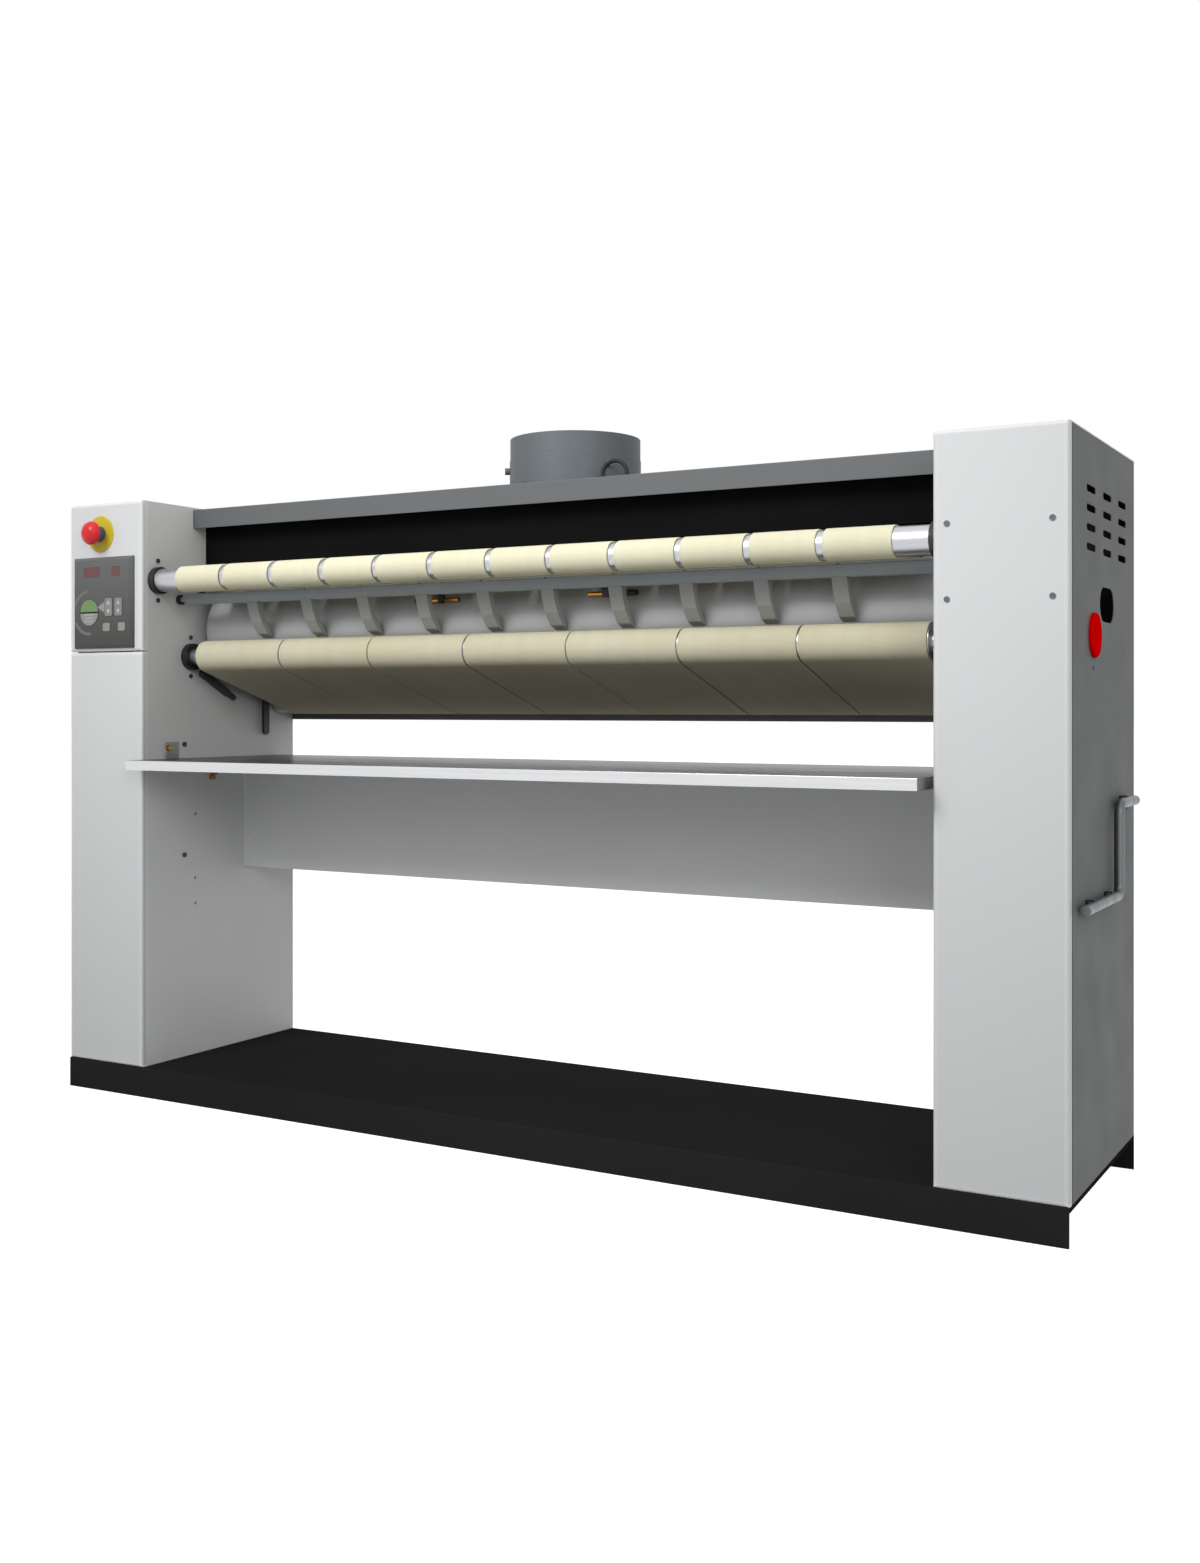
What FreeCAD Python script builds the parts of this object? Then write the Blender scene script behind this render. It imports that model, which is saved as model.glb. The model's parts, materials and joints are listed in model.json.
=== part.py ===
import FreeCAD, Part
import math
import os
import re
import Sketcher

# Flatwork ironer: a heated drum between two columns, pressed by seven endless belts,
# fed over a roller with twelve narrow belts. X runs along the drum, Y from front to
# rear, Z up. Millimetres.

V = FreeCAD.Vector
doc = FreeCAD.newDocument("flatwork_ironer")

SIZES = {
    # whole machine
    "overall_width": 2010, "depth": 455, "body_height": 1182, "column_width": 200,
    "plinth_height": 58, "plinth_sheet": 2, "plinth_end_lip": 8, "lip_reach": 50, "sheet_bend": 0.9,
    # clearances shared by all pieces
    "running_fit": 0.05, "press_fit": 0.02, "bush_fit": 0.1, "end_play": 1,
    # columns
    "frame_plate": 4, "frame_flange": 40, "cover_sheet": 2, "fold_depth": 16,
    "fold_radius": 6, "seam_drop": 299, "seam_gap": 2, "panel_sheet": 1.5,
    "panel_start": 21, "panel_fold": 35, "rear_fold": 20, "cap_sheet": 1.5,
    "screw_inset": 22, "screw_high_drop": 139, "screw_low_drop": 251,
    "screw_radius": 3, "screw_head": 4.5, "screw_proud": 2,
    # slots, shaft opening and red plug of the right side panel
    "vent_length": 60, "vent_height": 11, "vent_first": 140, "vent_pitch": 110,
    "vent_drop": 84, "vent_step": 29, "vent_columns": 3, "vent_rows": 4,
    "window_length": 100, "window_height": 54, "plug_ahead": 93, "plug_drop": 50,
    "plug_radius": 34, "plug_thick": 5, "plug_stem": 14, "plug_depth": 10,
    "plug_edge": 1, "plug_fit": 0.3, "pin_hole_drop": 50, "pin_hole_radius": 4,
    # hood and rear of the middle section
    "hood_front": 143, "hood_sink": 4.5, "hood_flange": 38.5, "hood_sheet": 1.5,
    "apron_y": 180, "apron_tall": 108, "apron_fold": 16, "apron_sheet": 2,
    "rear_cover_tall": 431, "rear_sheet": 1.5,
    # exhaust collar and fan
    "collar_radius": 125, "collar_sheet": 2, "collar_tall": 101.5, "collar_foot": 5,
    "neck_tall": 40, "neck_step": 1, "fan_motor_radius": 34, "fan_motor_tall": 30,
    "fan_motor_edge": 4, "fan_arm_z": 43.5, "fan_arm_radius": 5, "fan_arm_root": 5,
    "fan_arm_turn": 209.5, "fan_arms": 3, "fan_bolt_radius": 6.5, "fan_bolt_proud": 9,
    "fan_tip_gap": 10, "fan_hub_radius": 30, "fan_tall": 15, "fan_low": 10,
    "fan_blades": 6, "blade_reach": 24, "blade_thick": 4, "fan_shaft": 6,
    "fan_shaft_gap": 2, "foot_screws": 6, "foot_screw_turn": -48, "foot_screw_z": 9,
    "foot_screw_proud": 2.5,
    "cable_radius": 4, "cable_bend": 25, "cable_leg": 14, "cable_x": 122,
    "cable_ahead": 110, "cable_tail": 8, "gland_radius": 9, "gland_tall": 12,
    "gland_step": 2,
    # drum
    "drum_y": 248, "drum_drop": 252, "drum_radius": 90, "drum_wall": 5,
    "drum_end_gap": 23, "hub_disc": 12, "hub_fit": 0.1, "trunnion_radius": 25,
    "axle_radius": 12, "left_trunnion": 42, "right_trunnion": 100,
    "main_bearing_radius": 50, "main_bearing_wide": 26, "main_flange": 8,
    "main_hub_radius": 40, "crank_socket": 8.3, "socket_depth": 22,
    "heater_circle": 50, "heater_radius": 6, "heaters": 6, "spider_radius": 64,
    "spider_thick": 6, "spider_inset": 120, "bracket_reach": 30, "bracket_side": 6,
    "bracket_thick": 6, "bracket_gap": 10, "bracket_rise": 20, "bracket_drop": 90,
    "bracket_foot": 26,
    # feed rollers and pressing rollers, their heights from the drum's axis
    "feed_y": 43, "feed_rise": 95, "feed_radius": 23, "transfer_y": 164,
    "transfer_rise": 98, "transfer_radius": 16, "exit_y": 135, "exit_drop": 55,
    "exit_radius": 29, "exit_neck": 16, "rear_roller_inset": 50, "lower_drop": 144,
    "lower_radius": 26, "upper_rise": 136, "upper_radius": 26, "nip_y": 228,
    "nip_rise": 120, "nip_radius": 18, "journal_radius": 10, "ring_radius": 27,
    "ring_wide": 12, "bush_radius": 20, "bush_wide": 6, "bush_body": 16,
    "bush_reach": 6,
    # belts, shared out over the width between the columns
    "feed_belt_count": 12, "feed_belt_margin": 70.6, "feed_belt_gap": 10.8,
    "press_belt_count": 7, "press_belt_margin": 43.4, "press_belt_gap": 2.7,
    "belt_thick": 2, "belt_clear": 0.5, "belt_edge": 2,
    # finger bar
    "bar_y": 104, "bar_rise": 60, "bar_end_gap": 15, "bar_pin": 5, "bar_pin_root": 10,
    "bar_bush": 10, "bar_bush_wide": 8, "bar_bush_wall": 3, "bar_top": 9,
    "bar_foot": 9.5, "bar_nose": 7, "bar_deep": 23, "bar_front_tall": 10,
    "bar_back_tall": 9, "bar_bevel": 10, "finger_count": 10, "finger_margin": 175.5,
    "finger_wide": 26, "finger_root": 19, "finger_long": 62.5, "finger_tip_drop": 19,
    "finger_gap": 0.8, "stud_radius": 2.5, "stud_tall": 3, "bulb_radius": 4.5,
    "bulb_long": 74, "bulb_left_x": -193, "bulb_right_x": 161, "bulb_behind": 56,
    "bulb_drop": 17, "bulb_cap": 24, "bulb_cap_wall": 0.8, "clip_wide": 12,
    "clip_sheet": 2,
    # belt take-ups and lever
    "takeup_behind": 25, "takeup_drop": 31, "takeup_long": 96, "takeup_turn": 28.6,
    "takeup_wide": 14, "takeup_thick": 10, "takeup_bolt": 6, "takeup_bolt_long": 16,
    "lever_inset": 103, "lever_drop": 110, "lever_long": 107, "lever_wide": 17,
    "lever_thick": 6, "lever_gap": 8, "lever_pin": 6, "lever_pin_root": 1,
    # drive in the right column
    "motor_drop": 170, "motor_pulley": 30, "drum_pulley": 70, "pulley_rim": 6,
    "pulley_cheek": 5, "pulley_start": 45, "drive_belt_wide": 14,
    "drive_belt_thick": 8, "drive_clear": 0.5, "gearbox_wide": 100,
    "gearbox_tall": 120, "gearbox_deep": 34, "motor_radius": 40, "motor_long": 160,
    "motor_shaft": 10,
    # shelf tray and cross panel
    "tray_drop": 514, "tray_sheet": 1.5, "tray_lip": 19, "tray_inset": 55,
    "tray_side_gap": 7, "ear_wide": 24, "ear_slope": 6, "pin_radius": 5, "pin_reach": 9,
    "pin_front_y": 70, "pin_front_rise": 21, "pin_rear_y": 195, "pin_rear_drop": 42,
    "pin_slack": 0.2, "cross_inset": 160, "cross_drop": 236, "cross_sheet": 1.5,
    "cross_fold": 15, "cross_gap": 1, "cross_hole": 3, "cross_hole_inset": 20,
    "cross_hole_rise": 58, "wall_screw_y": 117, "wall_screw_rise": 28,
    "wall_screw_low": 470, "wall_screw_radius": 5, "wall_screw_proud": 3,
    "bearing_bolt_pitch": 79, "small_hole": 3, "small_hole_y": 150,
    "small_hole_top": 552, "small_hole_mid": 420, "small_hole_low": 368,
    # operating panel: x from its left edge, heights from its top edge
    "panel_inset": 17, "panel_wide": 164, "panel_drop": 109, "panel_tall": 183,
    "bezel_proud": 9, "bezel_chamfer": 6, "key_proud": 1, "key_thick": 4,
    "key_gap": 0.4, "key_room": 2, "key_corner": 3, "display_thick": 1.5,
    "round_key_in": 48, "round_key_drop": 111, "round_key_radius": 26,
    "round_key_split": 3, "tall_key_wide": 20, "tall_key_tall": 36,
    "tall_key_left_in": 102, "tall_key_right_in": 129, "tall_key_drop": 101,
    "low_key_wide": 19, "low_key_tall": 17, "low_key_drop": 141,
    "low_key_left_in": 96, "low_key_right_in": 138, "display_tall": 20,
    "display_drop": 30, "wide_display": 46, "wide_display_in": 54,
    "small_display": 22, "small_display_in": 121,
    # emergency stop
    "stop_inset": 87, "stop_drop": 62, "stop_plate_radius": 36.5,
    "stop_plate_thick": 2, "stop_plate_edge": 1, "stop_neck_radius": 15.5,
    "stop_neck_long": 12, "stop_neck_edge": 2, "stop_body_radius": 11,
    "stop_nut_radius": 14, "stop_nut_long": 8, "stop_stem_radius": 6,
    "stop_stem_tip": 12, "stop_tip_gap": 0.3, "stop_head_radius": 23.5,
    "stop_head_back": 20, "stop_head_front": 40, "stop_head_edge": 3,
    "stop_head_rim": 7, "stop_stem_rear": 24, "stop_hole_fit": 0.2,
    # stored hand crank
    "crank_radius": 8, "crank_off": 12, "crank_low": 476.5, "crank_high": 619.5,
    "crank_tip_y": 50, "crank_end_inset": 53, "crank_grip_run": 122, "crank_bend": 16,
    "clip_base": 3.5, "clip_long": 8, "clip_side": 2, "clip_fit": 0.2,
    "clip_proud": 1, "clip_from_tip": 56, "clip_from_arm": 50, "clip_from_end": 62,
}

LAYOUT = {
    "front": "(lip_reach - depth) / 2",
    "rear": "front + depth",
    "side": "overall_width / 2",
    "inner": "side - column_width",
    "span": "inner * 2",
    "frame_top": "body_height - cap_sheet",
    "frame_front": "front + fold_depth",
    "skin_rear": "rear - panel_sheet",
    "frame_rear": "skin_rear - rear_sheet",
    "panel_front": "front + panel_start",
    "seam_height": "body_height - seam_drop",
    "screw_high": "body_height - screw_high_drop",
    "screw_low": "body_height - screw_low_drop",
    "hood_top": "body_height - hood_sink",
    "hood_under": "hood_top - hood_sheet",
    "apron_bottom": "hood_under - apron_tall",
    "rear_bottom": "hood_under - rear_cover_tall",
    "collar_y": "depth - collar_radius - collar_foot",
    "cable_y": "collar_y - cable_ahead",
    "drum_z": "body_height - drum_drop",
    "drum_end": "inner - drum_end_gap",
    "feed_z": "drum_z + feed_rise",
    "transfer_z": "drum_z + transfer_rise",
    "exit_z": "drum_z - exit_drop",
    "lower_z": "drum_z - lower_drop",
    "upper_z": "drum_z + upper_rise",
    "nip_z": "drum_z + nip_rise",
    "lower_y": "depth - rear_roller_inset",
    "upper_y": "lower_y",
    "journal_end": "inner + frame_plate + bush_reach",
    "ring_face": "inner - ring_wide",
    "bush_face": "inner - bush_wide",
    "vent_top": "body_height - vent_drop",
    "plug_y": "drum_y - plug_ahead",
    "plug_z": "drum_z - plug_drop",
    "feed_belt_pitch":
        "(span - 2 * feed_belt_margin + feed_belt_gap) / feed_belt_count",
    "feed_belt_wide": "feed_belt_pitch - feed_belt_gap",
    "press_belt_pitch":
        "(span - 2 * press_belt_margin + press_belt_gap) / press_belt_count",
    "press_belt_wide": "press_belt_pitch - press_belt_gap",
    "press_belt_span": "press_belt_pitch * (press_belt_count - 1)",
    "bar_z": "drum_z + bar_rise",
    "finger_pitch": "(span - 2 * finger_margin - finger_wide) / (finger_count - 1)",
    "finger_span": "finger_pitch * (finger_count - 1)",
    "finger_tip_z": "drum_z - finger_tip_drop",
    "finger_tip_y": "drum_y - sqrt((drum_radius + finger_gap)^2 - finger_tip_drop^2)",
    "bulb_y": "bar_y + bulb_behind",
    "bulb_z": "bar_z - bulb_drop",
    "takeup_y": "exit_y + takeup_behind",
    "takeup_z": "exit_z - takeup_drop",
    "lever_y": "depth - lever_inset",
    "lever_z": "drum_z - lever_drop",
    "lever_low": "lever_z - lever_long",
    "motor_z": "drum_z - motor_drop",
    "pulley_face": "inner + pulley_start",
    "pulley_wide": "drive_belt_wide + 2 * pulley_cheek",
    "bracket_x": "-inner - left_trunnion - bracket_gap",
    "tray_top": "body_height - tray_drop",
    "tray_rear": "depth - tray_inset",
    "tray_end": "inner - tray_side_gap",
    "pin_front_z": "tray_top + pin_front_rise",
    "pin_rear_z": "tray_top - pin_rear_drop",
    "wall_screw_high": "tray_top + wall_screw_rise",
    "cross_y": "depth - cross_inset",
    "cross_bottom": "tray_top - cross_drop",
    "cross_top": "tray_top - tray_lip - cross_gap",
    "panel_left": "side - panel_inset",
    "panel_right": "panel_left - panel_wide",
    "panel_high": "body_height - panel_drop",
    "panel_low": "panel_high - panel_tall",
    "bezel_front": "front - bezel_proud",
    "round_key_x": "panel_left - round_key_in",
    "round_key_z": "panel_high - round_key_drop",
    "tall_key_left_x": "panel_left - tall_key_left_in",
    "tall_key_right_x": "panel_left - tall_key_right_in",
    "tall_key_z": "panel_high - tall_key_drop",
    "low_key_left_x": "panel_left - low_key_left_in",
    "low_key_right_x": "panel_left - low_key_right_in",
    "low_key_z": "panel_high - low_key_drop",
    "wide_display_x": "panel_left - wide_display_in",
    "small_display_x": "panel_left - small_display_in",
    "display_z": "panel_high - display_drop",
    "stop_x": "side - stop_inset",
    "stop_z": "body_height - stop_drop",
    "stop_dome": "stop_head_front - stop_head_back - stop_head_rim",
    "crank_x": "side + crank_off",
    "crank_end_y": "depth - crank_end_inset",
    "crank_arm_y": "crank_end_y - crank_grip_run",
    "clip_first_y": "crank_tip_y + clip_from_tip",
    "clip_second_y": "crank_arm_y - clip_from_arm",
    "clip_grip_y": "crank_end_y - clip_from_end",
}

WORD = re.compile(r"[a-z][a-z_]+")


def bound(text, own=False):
    # a size is read from the sheet of sizes, a place from the sheet of places
    def owner(match):
        name = match.group(0)
        if name in SIZES:
            return "dims." + name
        return name if own or name not in LAYOUT else "layout." + name
    return WORD.sub(owner, text)


def fill(sheet, rows):
    for row, (name, cell) in enumerate(rows, 1):
        sheet.set("A%d" % row, name)
        sheet.set("B%d" % row, cell)
        sheet.setAlias("B%d" % row, name)


dims = doc.addObject("Spreadsheet::Sheet", "dims")
fill(dims, [(name, str(value)) for name, value in SIZES.items()])
layout = doc.addObject("Spreadsheet::Sheet", "layout")
fill(layout, [(name, "=" + bound(text, True)) for name, text in LAYOUT.items()])
figure = doc.addObject("Spreadsheet::Sheet", "figure")
doc.recompute()


def number(text):
    figure.set("A1", "=" + bound(text))
    figure.recompute()
    return float(figure.get("A1"))


def at(y):
    # a distance behind the front of the columns
    return "front + " + y


# ---------------------------------------------------------------- drawing helpers
counter = {"n": 0}


def fresh(kind):
    counter["n"] += 1
    return "%s%03d" % (kind, counter["n"])


def new_body(name, **place):
    body = doc.addObject("PartDesign::Body", name)
    body.AllowCompound = True
    for axis, text in place.items():
        body.setExpression("Placement.Base." + axis, bound(text))
    return body


def new_sketch(body, plane, start="0"):
    sketch = body.newObject("Sketcher::SketchObject", fresh("Sketch"))
    role = plane + "_Plane"
    base = next(o for o in body.Origin.OriginFeatures if o.Role == role)
    sketch.AttachmentSupport = [(base, "")]
    sketch.MapMode = "FlatFace"
    sign = "-1 * " if plane == "XZ" else ""
    sketch.setExpression("AttachmentOffset.Base.z", sign + "(" + bound(start) + ")")
    return sketch


def hold(sketch, kind, text, *where):
    held = sketch.addConstraint(Sketcher.Constraint(kind, *where, number(text)))
    sketch.setExpression("Constraints[%d]" % held, bound(text))


def pin_down(sketch, item, point, u, v):
    hold(sketch, "DistanceX", u, -1, 1, item, point)
    hold(sketch, "DistanceY", v, -1, 1, item, point)


def outline(sketch, corners):
    # closed polygon, each corner held by its two distances from the origin
    n, first = len(corners), sketch.GeometryCount
    ring = [V(number(u), number(v), 0) for u, v in corners]
    for i in range(n):
        sketch.addGeometry(Part.LineSegment(ring[i], ring[(i + 1) % n]))
    for i in range(n):
        sketch.addConstraint(Sketcher.Constraint(
            "Coincident", first + i, 2, first + (i + 1) % n, 1))
    for i, (u, v) in enumerate(corners):
        pin_down(sketch, first + i, 1, u, v)


def box_outline(u0, v0, u1, v1):
    return [(u0, v0), (u1, v0), (u1, v1), (u0, v1)]


def circle(sketch, u, v, radius):
    item = sketch.addGeometry(Part.Circle(V(number(u), number(v), 0), V(0, 0, 1),
                                          number(radius)))
    pin_down(sketch, item, 3, u, v)
    hold(sketch, "Radius", radius, item)


def slot(sketch, u, v, length, height):
    # two straight sides joined by half circles
    cu, cv, reach, r = number(u), number(v), number(length) / 2, number(height) / 2
    flat = reach - r
    a = V(cu - flat, cv, 0)
    b = V(cu + flat, cv, 0)
    left = sketch.addGeometry(Part.ArcOfCircle(
        Part.Circle(a, V(0, 0, 1), r), math.pi / 2, 1.5 * math.pi))
    right = sketch.addGeometry(Part.ArcOfCircle(
        Part.Circle(b, V(0, 0, 1), r), -math.pi / 2, math.pi / 2))
    low = sketch.addGeometry(Part.LineSegment(a - V(0, r, 0), b - V(0, r, 0)))
    high = sketch.addGeometry(Part.LineSegment(b + V(0, r, 0), a + V(0, r, 0)))
    for rule in (("Tangent", left, 2, low, 1), ("Tangent", low, 2, right, 1),
                 ("Tangent", right, 2, high, 1), ("Tangent", high, 2, left, 1)):
        sketch.addConstraint(Sketcher.Constraint(*rule))
    hold(sketch, "Radius", "(%s) / 2" % height, left)
    half = "((%s) - (%s)) / 2" % (length, height)
    pin_down(sketch, left, 3, "%s - %s" % (u, half), v)
    pin_down(sketch, right, 3, "%s + %s" % (u, half), v)


def finish(body, feature):
    body.Tip = feature
    doc.recompute()
    return feature


def pad(body, sketch, length):
    # solid grown towards the positive axis
    made = body.newObject("PartDesign::Pad", fresh("Pad"))
    made.Profile = sketch
    made.Reversed = "XZ_Plane" == sketch.AttachmentSupport[0][0].Role
    made.setExpression("Length", bound(length))
    return finish(body, made)


def cut(body, sketch, length):
    # material taken away towards the positive axis
    before = body.Tip.Shape.Volume
    made = body.newObject("PartDesign::Pocket", fresh("Pocket"))
    made.Profile = sketch
    made.Reversed = "XZ_Plane" != sketch.AttachmentSupport[0][0].Role
    made.setExpression("Length", bound(length))
    finish(body, made)
    if not made.Shape.Volume < before - 1e-6:
        raise RuntimeError("nothing was cut from " + body.Name)
    return made


def prism(name, plane, start, corners, length, **place):
    body = new_body(name, **place)
    sketch = new_sketch(body, plane, start)
    outline(sketch, corners)
    pad(body, sketch, length)
    return body


def spin(name, axis, corners, **place):
    # turned piece: corners are (distance along the axis, radius)
    body = new_body(name, **place)
    plane, line = {"x": ("XY", "H_Axis"), "z": ("XZ", "V_Axis"), "y": ("XY", "V_Axis")}[axis]
    sketch = new_sketch(body, plane)
    outline(sketch, corners if axis == "x" else [(r, along) for along, r in corners])
    made = body.newObject("PartDesign::Revolution", fresh("Revolution"))
    made.Profile = sketch
    made.ReferenceAxis = (sketch, [line])
    made.Angle = 360
    finish(body, made)
    return body


def shaft(steps):
    # outline of a solid turned piece from its steps (start, end, radius)
    corners = [(steps[0][0], "0")]
    for start, end, radius in steps:
        corners += [(start, radius), (end, radius)]
    return corners + [(steps[-1][1], "0")]


def row(body, feature, axis, count, pitch):
    # equal copies of a feature along a direction
    made = body.newObject("PartDesign::LinearPattern", fresh("Row"))
    made.Originals = [feature]
    role = axis + "_Axis"
    line = next(o for o in body.Origin.OriginFeatures if o.Role == role)
    made.Direction = (line, [""])
    made.setExpression("Occurrences", bound(count))
    made.setExpression("Length", bound("%s * (%s - 1)" % (pitch, count)))
    return finish(body, made)


def edges(shape, test):
    return ["Edge%d" % (i + 1) for i, edge in enumerate(shape.Edges) if test(edge)]


def soften(body, test, radius, kind="Fillet"):
    base = body.Tip
    made = body.newObject("PartDesign::" + kind, fresh(kind))
    made.Base = (base, edges(base.Shape, test))
    made.setExpression("Radius" if kind == "Fillet" else "Size", bound(radius))
    return finish(body, made)


def hollow(body, wall, side, sign):
    # shell that is left open at one side of its box
    base = body.Tip
    box = base.Shape.BoundBox
    reach = getattr(box, side.upper() + ("Max" if sign > 0 else "Min"))
    open_side = ["Face%d" % (i + 1) for i, face in enumerate(base.Shape.Faces)
                 if abs(getattr(face.CenterOfMass, side) - reach) < 1e-4]
    made = body.newObject("PartDesign::Thickness", fresh("Thickness"))
    made.Base = (base, open_side)
    made.setExpression("Value", bound(wall))
    made.Reversed = True
    return finish(body, made)


def mirrored(source, name=None):
    made = doc.addObject("Part::Mirroring", name or fresh("Mirror"))
    made.Source = source
    made.Normal = V(1, 0, 0)
    return made


def group(name, pieces):
    made = doc.addObject("Part::Compound", name)
    made.Links = pieces
    return made


def both_sides(name, pieces):
    return group(name, pieces + [mirrored(piece) for piece in pieces])


def disc(axis, radius, length, x="0", y="0", z="0"):
    made = doc.addObject("Part::Cylinder", fresh("Disc"))
    made.setExpression("Radius", bound(radius))
    made.setExpression("Height", bound(length))
    turn = {"x": FreeCAD.Rotation(V(0, 1, 0), 90), "y": FreeCAD.Rotation(V(1, 0, 0), -90),
            "z": FreeCAD.Rotation()}[axis]
    made.Placement = FreeCAD.Placement(V(), turn)
    for way, text in (("x", x), ("y", y), ("z", z)):
        made.setExpression("Placement.Base." + way, bound(text))
    return made


def spoke(radius, length, start, z, turn):
    # round bar that points outwards from the vertical axis
    made = doc.addObject("Part::Cylinder", fresh("Spoke"))
    made.setExpression("Radius", bound(radius))
    made.setExpression("Height", bound(length))
    ray = V(math.cos(math.radians(turn)), math.sin(math.radians(turn)), 0)
    made.Placement = FreeCAD.Placement(ray * number(start) + V(0, 0, number(z)),
                                       FreeCAD.Rotation(V(0, 0, 1), ray))
    return made


def block(x, y, z, length, width, height):
    made = doc.addObject("Part::Box", fresh("Block"))
    for field, text in (("Length", length), ("Width", width), ("Height", height),
                        ("Placement.Base.x", x), ("Placement.Base.y", y),
                        ("Placement.Base.z", z)):
        made.setExpression(field, bound(text))
    return made


def joined(name, pieces):
    made = doc.addObject("Part::MultiFuse", name)
    made.Shapes = pieces
    return made


def without(name, base, tool):
    made = doc.addObject("Part::Cut", name)
    made.Base = base
    made.Tool = tool
    return made


# ---------------------------------------------------------------- plinth and columns
plinth_pan = prism("plinth_pan", "YZ", "-side", [
    ("front", "0"), ("front + plinth_sheet", "0"),
    ("front + plinth_sheet", "plinth_height - plinth_sheet"),
    ("rear - plinth_sheet", "plinth_height - plinth_sheet"),
    ("rear - plinth_sheet", "0"), ("rear", "0"),
    ("rear", "plinth_height"), ("front", "plinth_height")], "overall_width")
soften(plinth_pan, lambda e: e.BoundBox.XLength > 1 and e.BoundBox.ZMin > 1
       and abs(e.BoundBox.ZMax - SIZES["plinth_height"]) < 1e-4, "plinth_sheet * sheet_bend")
plinth_lip = block("side - plinth_sheet", "front + plinth_sheet",
                   "plinth_height - plinth_end_lip", "plinth_sheet",
                   "depth - 2 * plinth_sheet", "plinth_end_lip - plinth_sheet")
base_pan = joined("base_pan", [plinth_pan, plinth_lip, mirrored(plinth_lip)])


# inner wall of a column: a plate with its front and rear edges turned outwards
frame_right = prism("frame_right", "XY", "plinth_height", [
    ("inner", "frame_front"), ("inner + frame_flange", "frame_front"),
    ("inner + frame_flange", "frame_front + frame_plate"),
    ("inner + frame_plate", "frame_front + frame_plate"),
    ("inner + frame_plate", "frame_rear - frame_plate"),
    ("inner + frame_flange", "frame_rear - frame_plate"),
    ("inner + frame_flange", "frame_rear"), ("inner", "frame_rear")],
    "frame_top - plinth_height")
holes = new_sketch(frame_right, "YZ", "inner - 1")
for roller in ("feed", "transfer", "exit", "lower", "upper", "nip"):
    circle(holes, at(roller + "_y"), roller + "_z", "bush_body + bush_fit")
circle(holes, at("drum_y"), "drum_z", "trunnion_radius + end_play")
circle(holes, at("bar_y"), "bar_z", "bar_pin + bar_bush_wall + bush_fit")
for height in ("small_hole_top", "small_hole_mid", "small_hole_low"):
    circle(holes, at("small_hole_y"), height, "small_hole")
cut(frame_right, holes, "frame_plate + 2")
left_wall = mirrored(frame_right)
frame_left = without("frame_left", left_wall, disc(
    "x", "lever_pin + running_fit", "frame_plate + 2", "-inner - frame_plate - 1",
    at("lever_y"), "lever_z"))


def front_pan(name, x, low, high):
    # folded cover with rounded front edges, open at its back
    pan = prism(name, "XZ", "front", box_outline(x, low, x + " + column_width", high),
                "fold_depth")
    soften(pan, lambda e: e.BoundBox.YMax < number("front") + 1e-4, "fold_radius")
    hollow(pan, "cover_sheet", "y", 1)
    return pan


front_cover_right = front_pan("front_cover_right", "inner", "plinth_height",
                              "body_height")
screw_holes = new_sketch(front_cover_right, "XZ", "front - 1")
for column in ("inner + screw_inset", "side - screw_inset - 1"):
    for height in ("screw_high", "screw_low"):
        circle(screw_holes, column, height, "screw_radius + bush_fit")
cut(front_cover_right, screw_holes, "cover_sheet + 2")
front_cover_left = front_pan("front_cover_left", "-side", "plinth_height",
                             "seam_height - seam_gap / 2")
control_fascia = front_pan("control_fascia", "-side", "seam_height + seam_gap / 2",
                           "body_height")
fascia_holes = new_sketch(control_fascia, "XZ", "front - 1")
circle(fascia_holes, "-stop_x", "stop_z", "stop_body_radius + stop_hole_fit")
outline(fascia_holes, box_outline(
    "-panel_left + bezel_chamfer * 2", "panel_low + bezel_chamfer * 2",
    "-panel_right - bezel_chamfer * 2", "panel_high - bezel_chamfer * 2"))
cut(control_fascia, fascia_holes, "cover_sheet + 2")


def side_pan(name, x):
    # outer side panel: front edge folded deep, rear edge folded short
    panel = prism(name, "XY", "plinth_height", [
        (x, "panel_front"), (x, "rear"), (x + " - rear_fold", "rear"),
        (x + " - rear_fold", "skin_rear"), (x + " - panel_sheet", "skin_rear"),
        (x + " - panel_sheet", "panel_front + panel_sheet"),
        (x + " - panel_fold", "panel_front + panel_sheet"),
        (x + " - panel_fold", "panel_front")], "frame_top - plinth_height")
    edge = number(x)
    soften(panel, lambda e: e.BoundBox.ZLength > 1 and e.BoundBox.XMin > edge - 1e-4,
           "panel_sheet * sheet_bend")
    return panel


plain_panel = side_pan("plain_panel", "side")
side_panel_left = mirrored(plain_panel, "side_panel_left")
side_panel_right = side_pan("side_panel_right", "side")
vents = new_sketch(side_panel_right, "YZ", "side - panel_sheet - 1")
for column in range(SIZES["vent_columns"]):
    for line in range(SIZES["vent_rows"]):
        slot(vents, at("vent_first + vent_pitch * %d" % column),
             "vent_top - vent_step * %d" % line, "vent_length", "vent_height")
slot(vents, at("drum_y"), "drum_z", "window_length", "window_height")
circle(vents, at("plug_y"), "plug_z", "plug_stem + plug_fit")
circle(vents, at("plug_y"), "plug_z - pin_hole_drop", "pin_hole_radius")
cut(side_panel_right, vents, "panel_sheet + 2")

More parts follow.
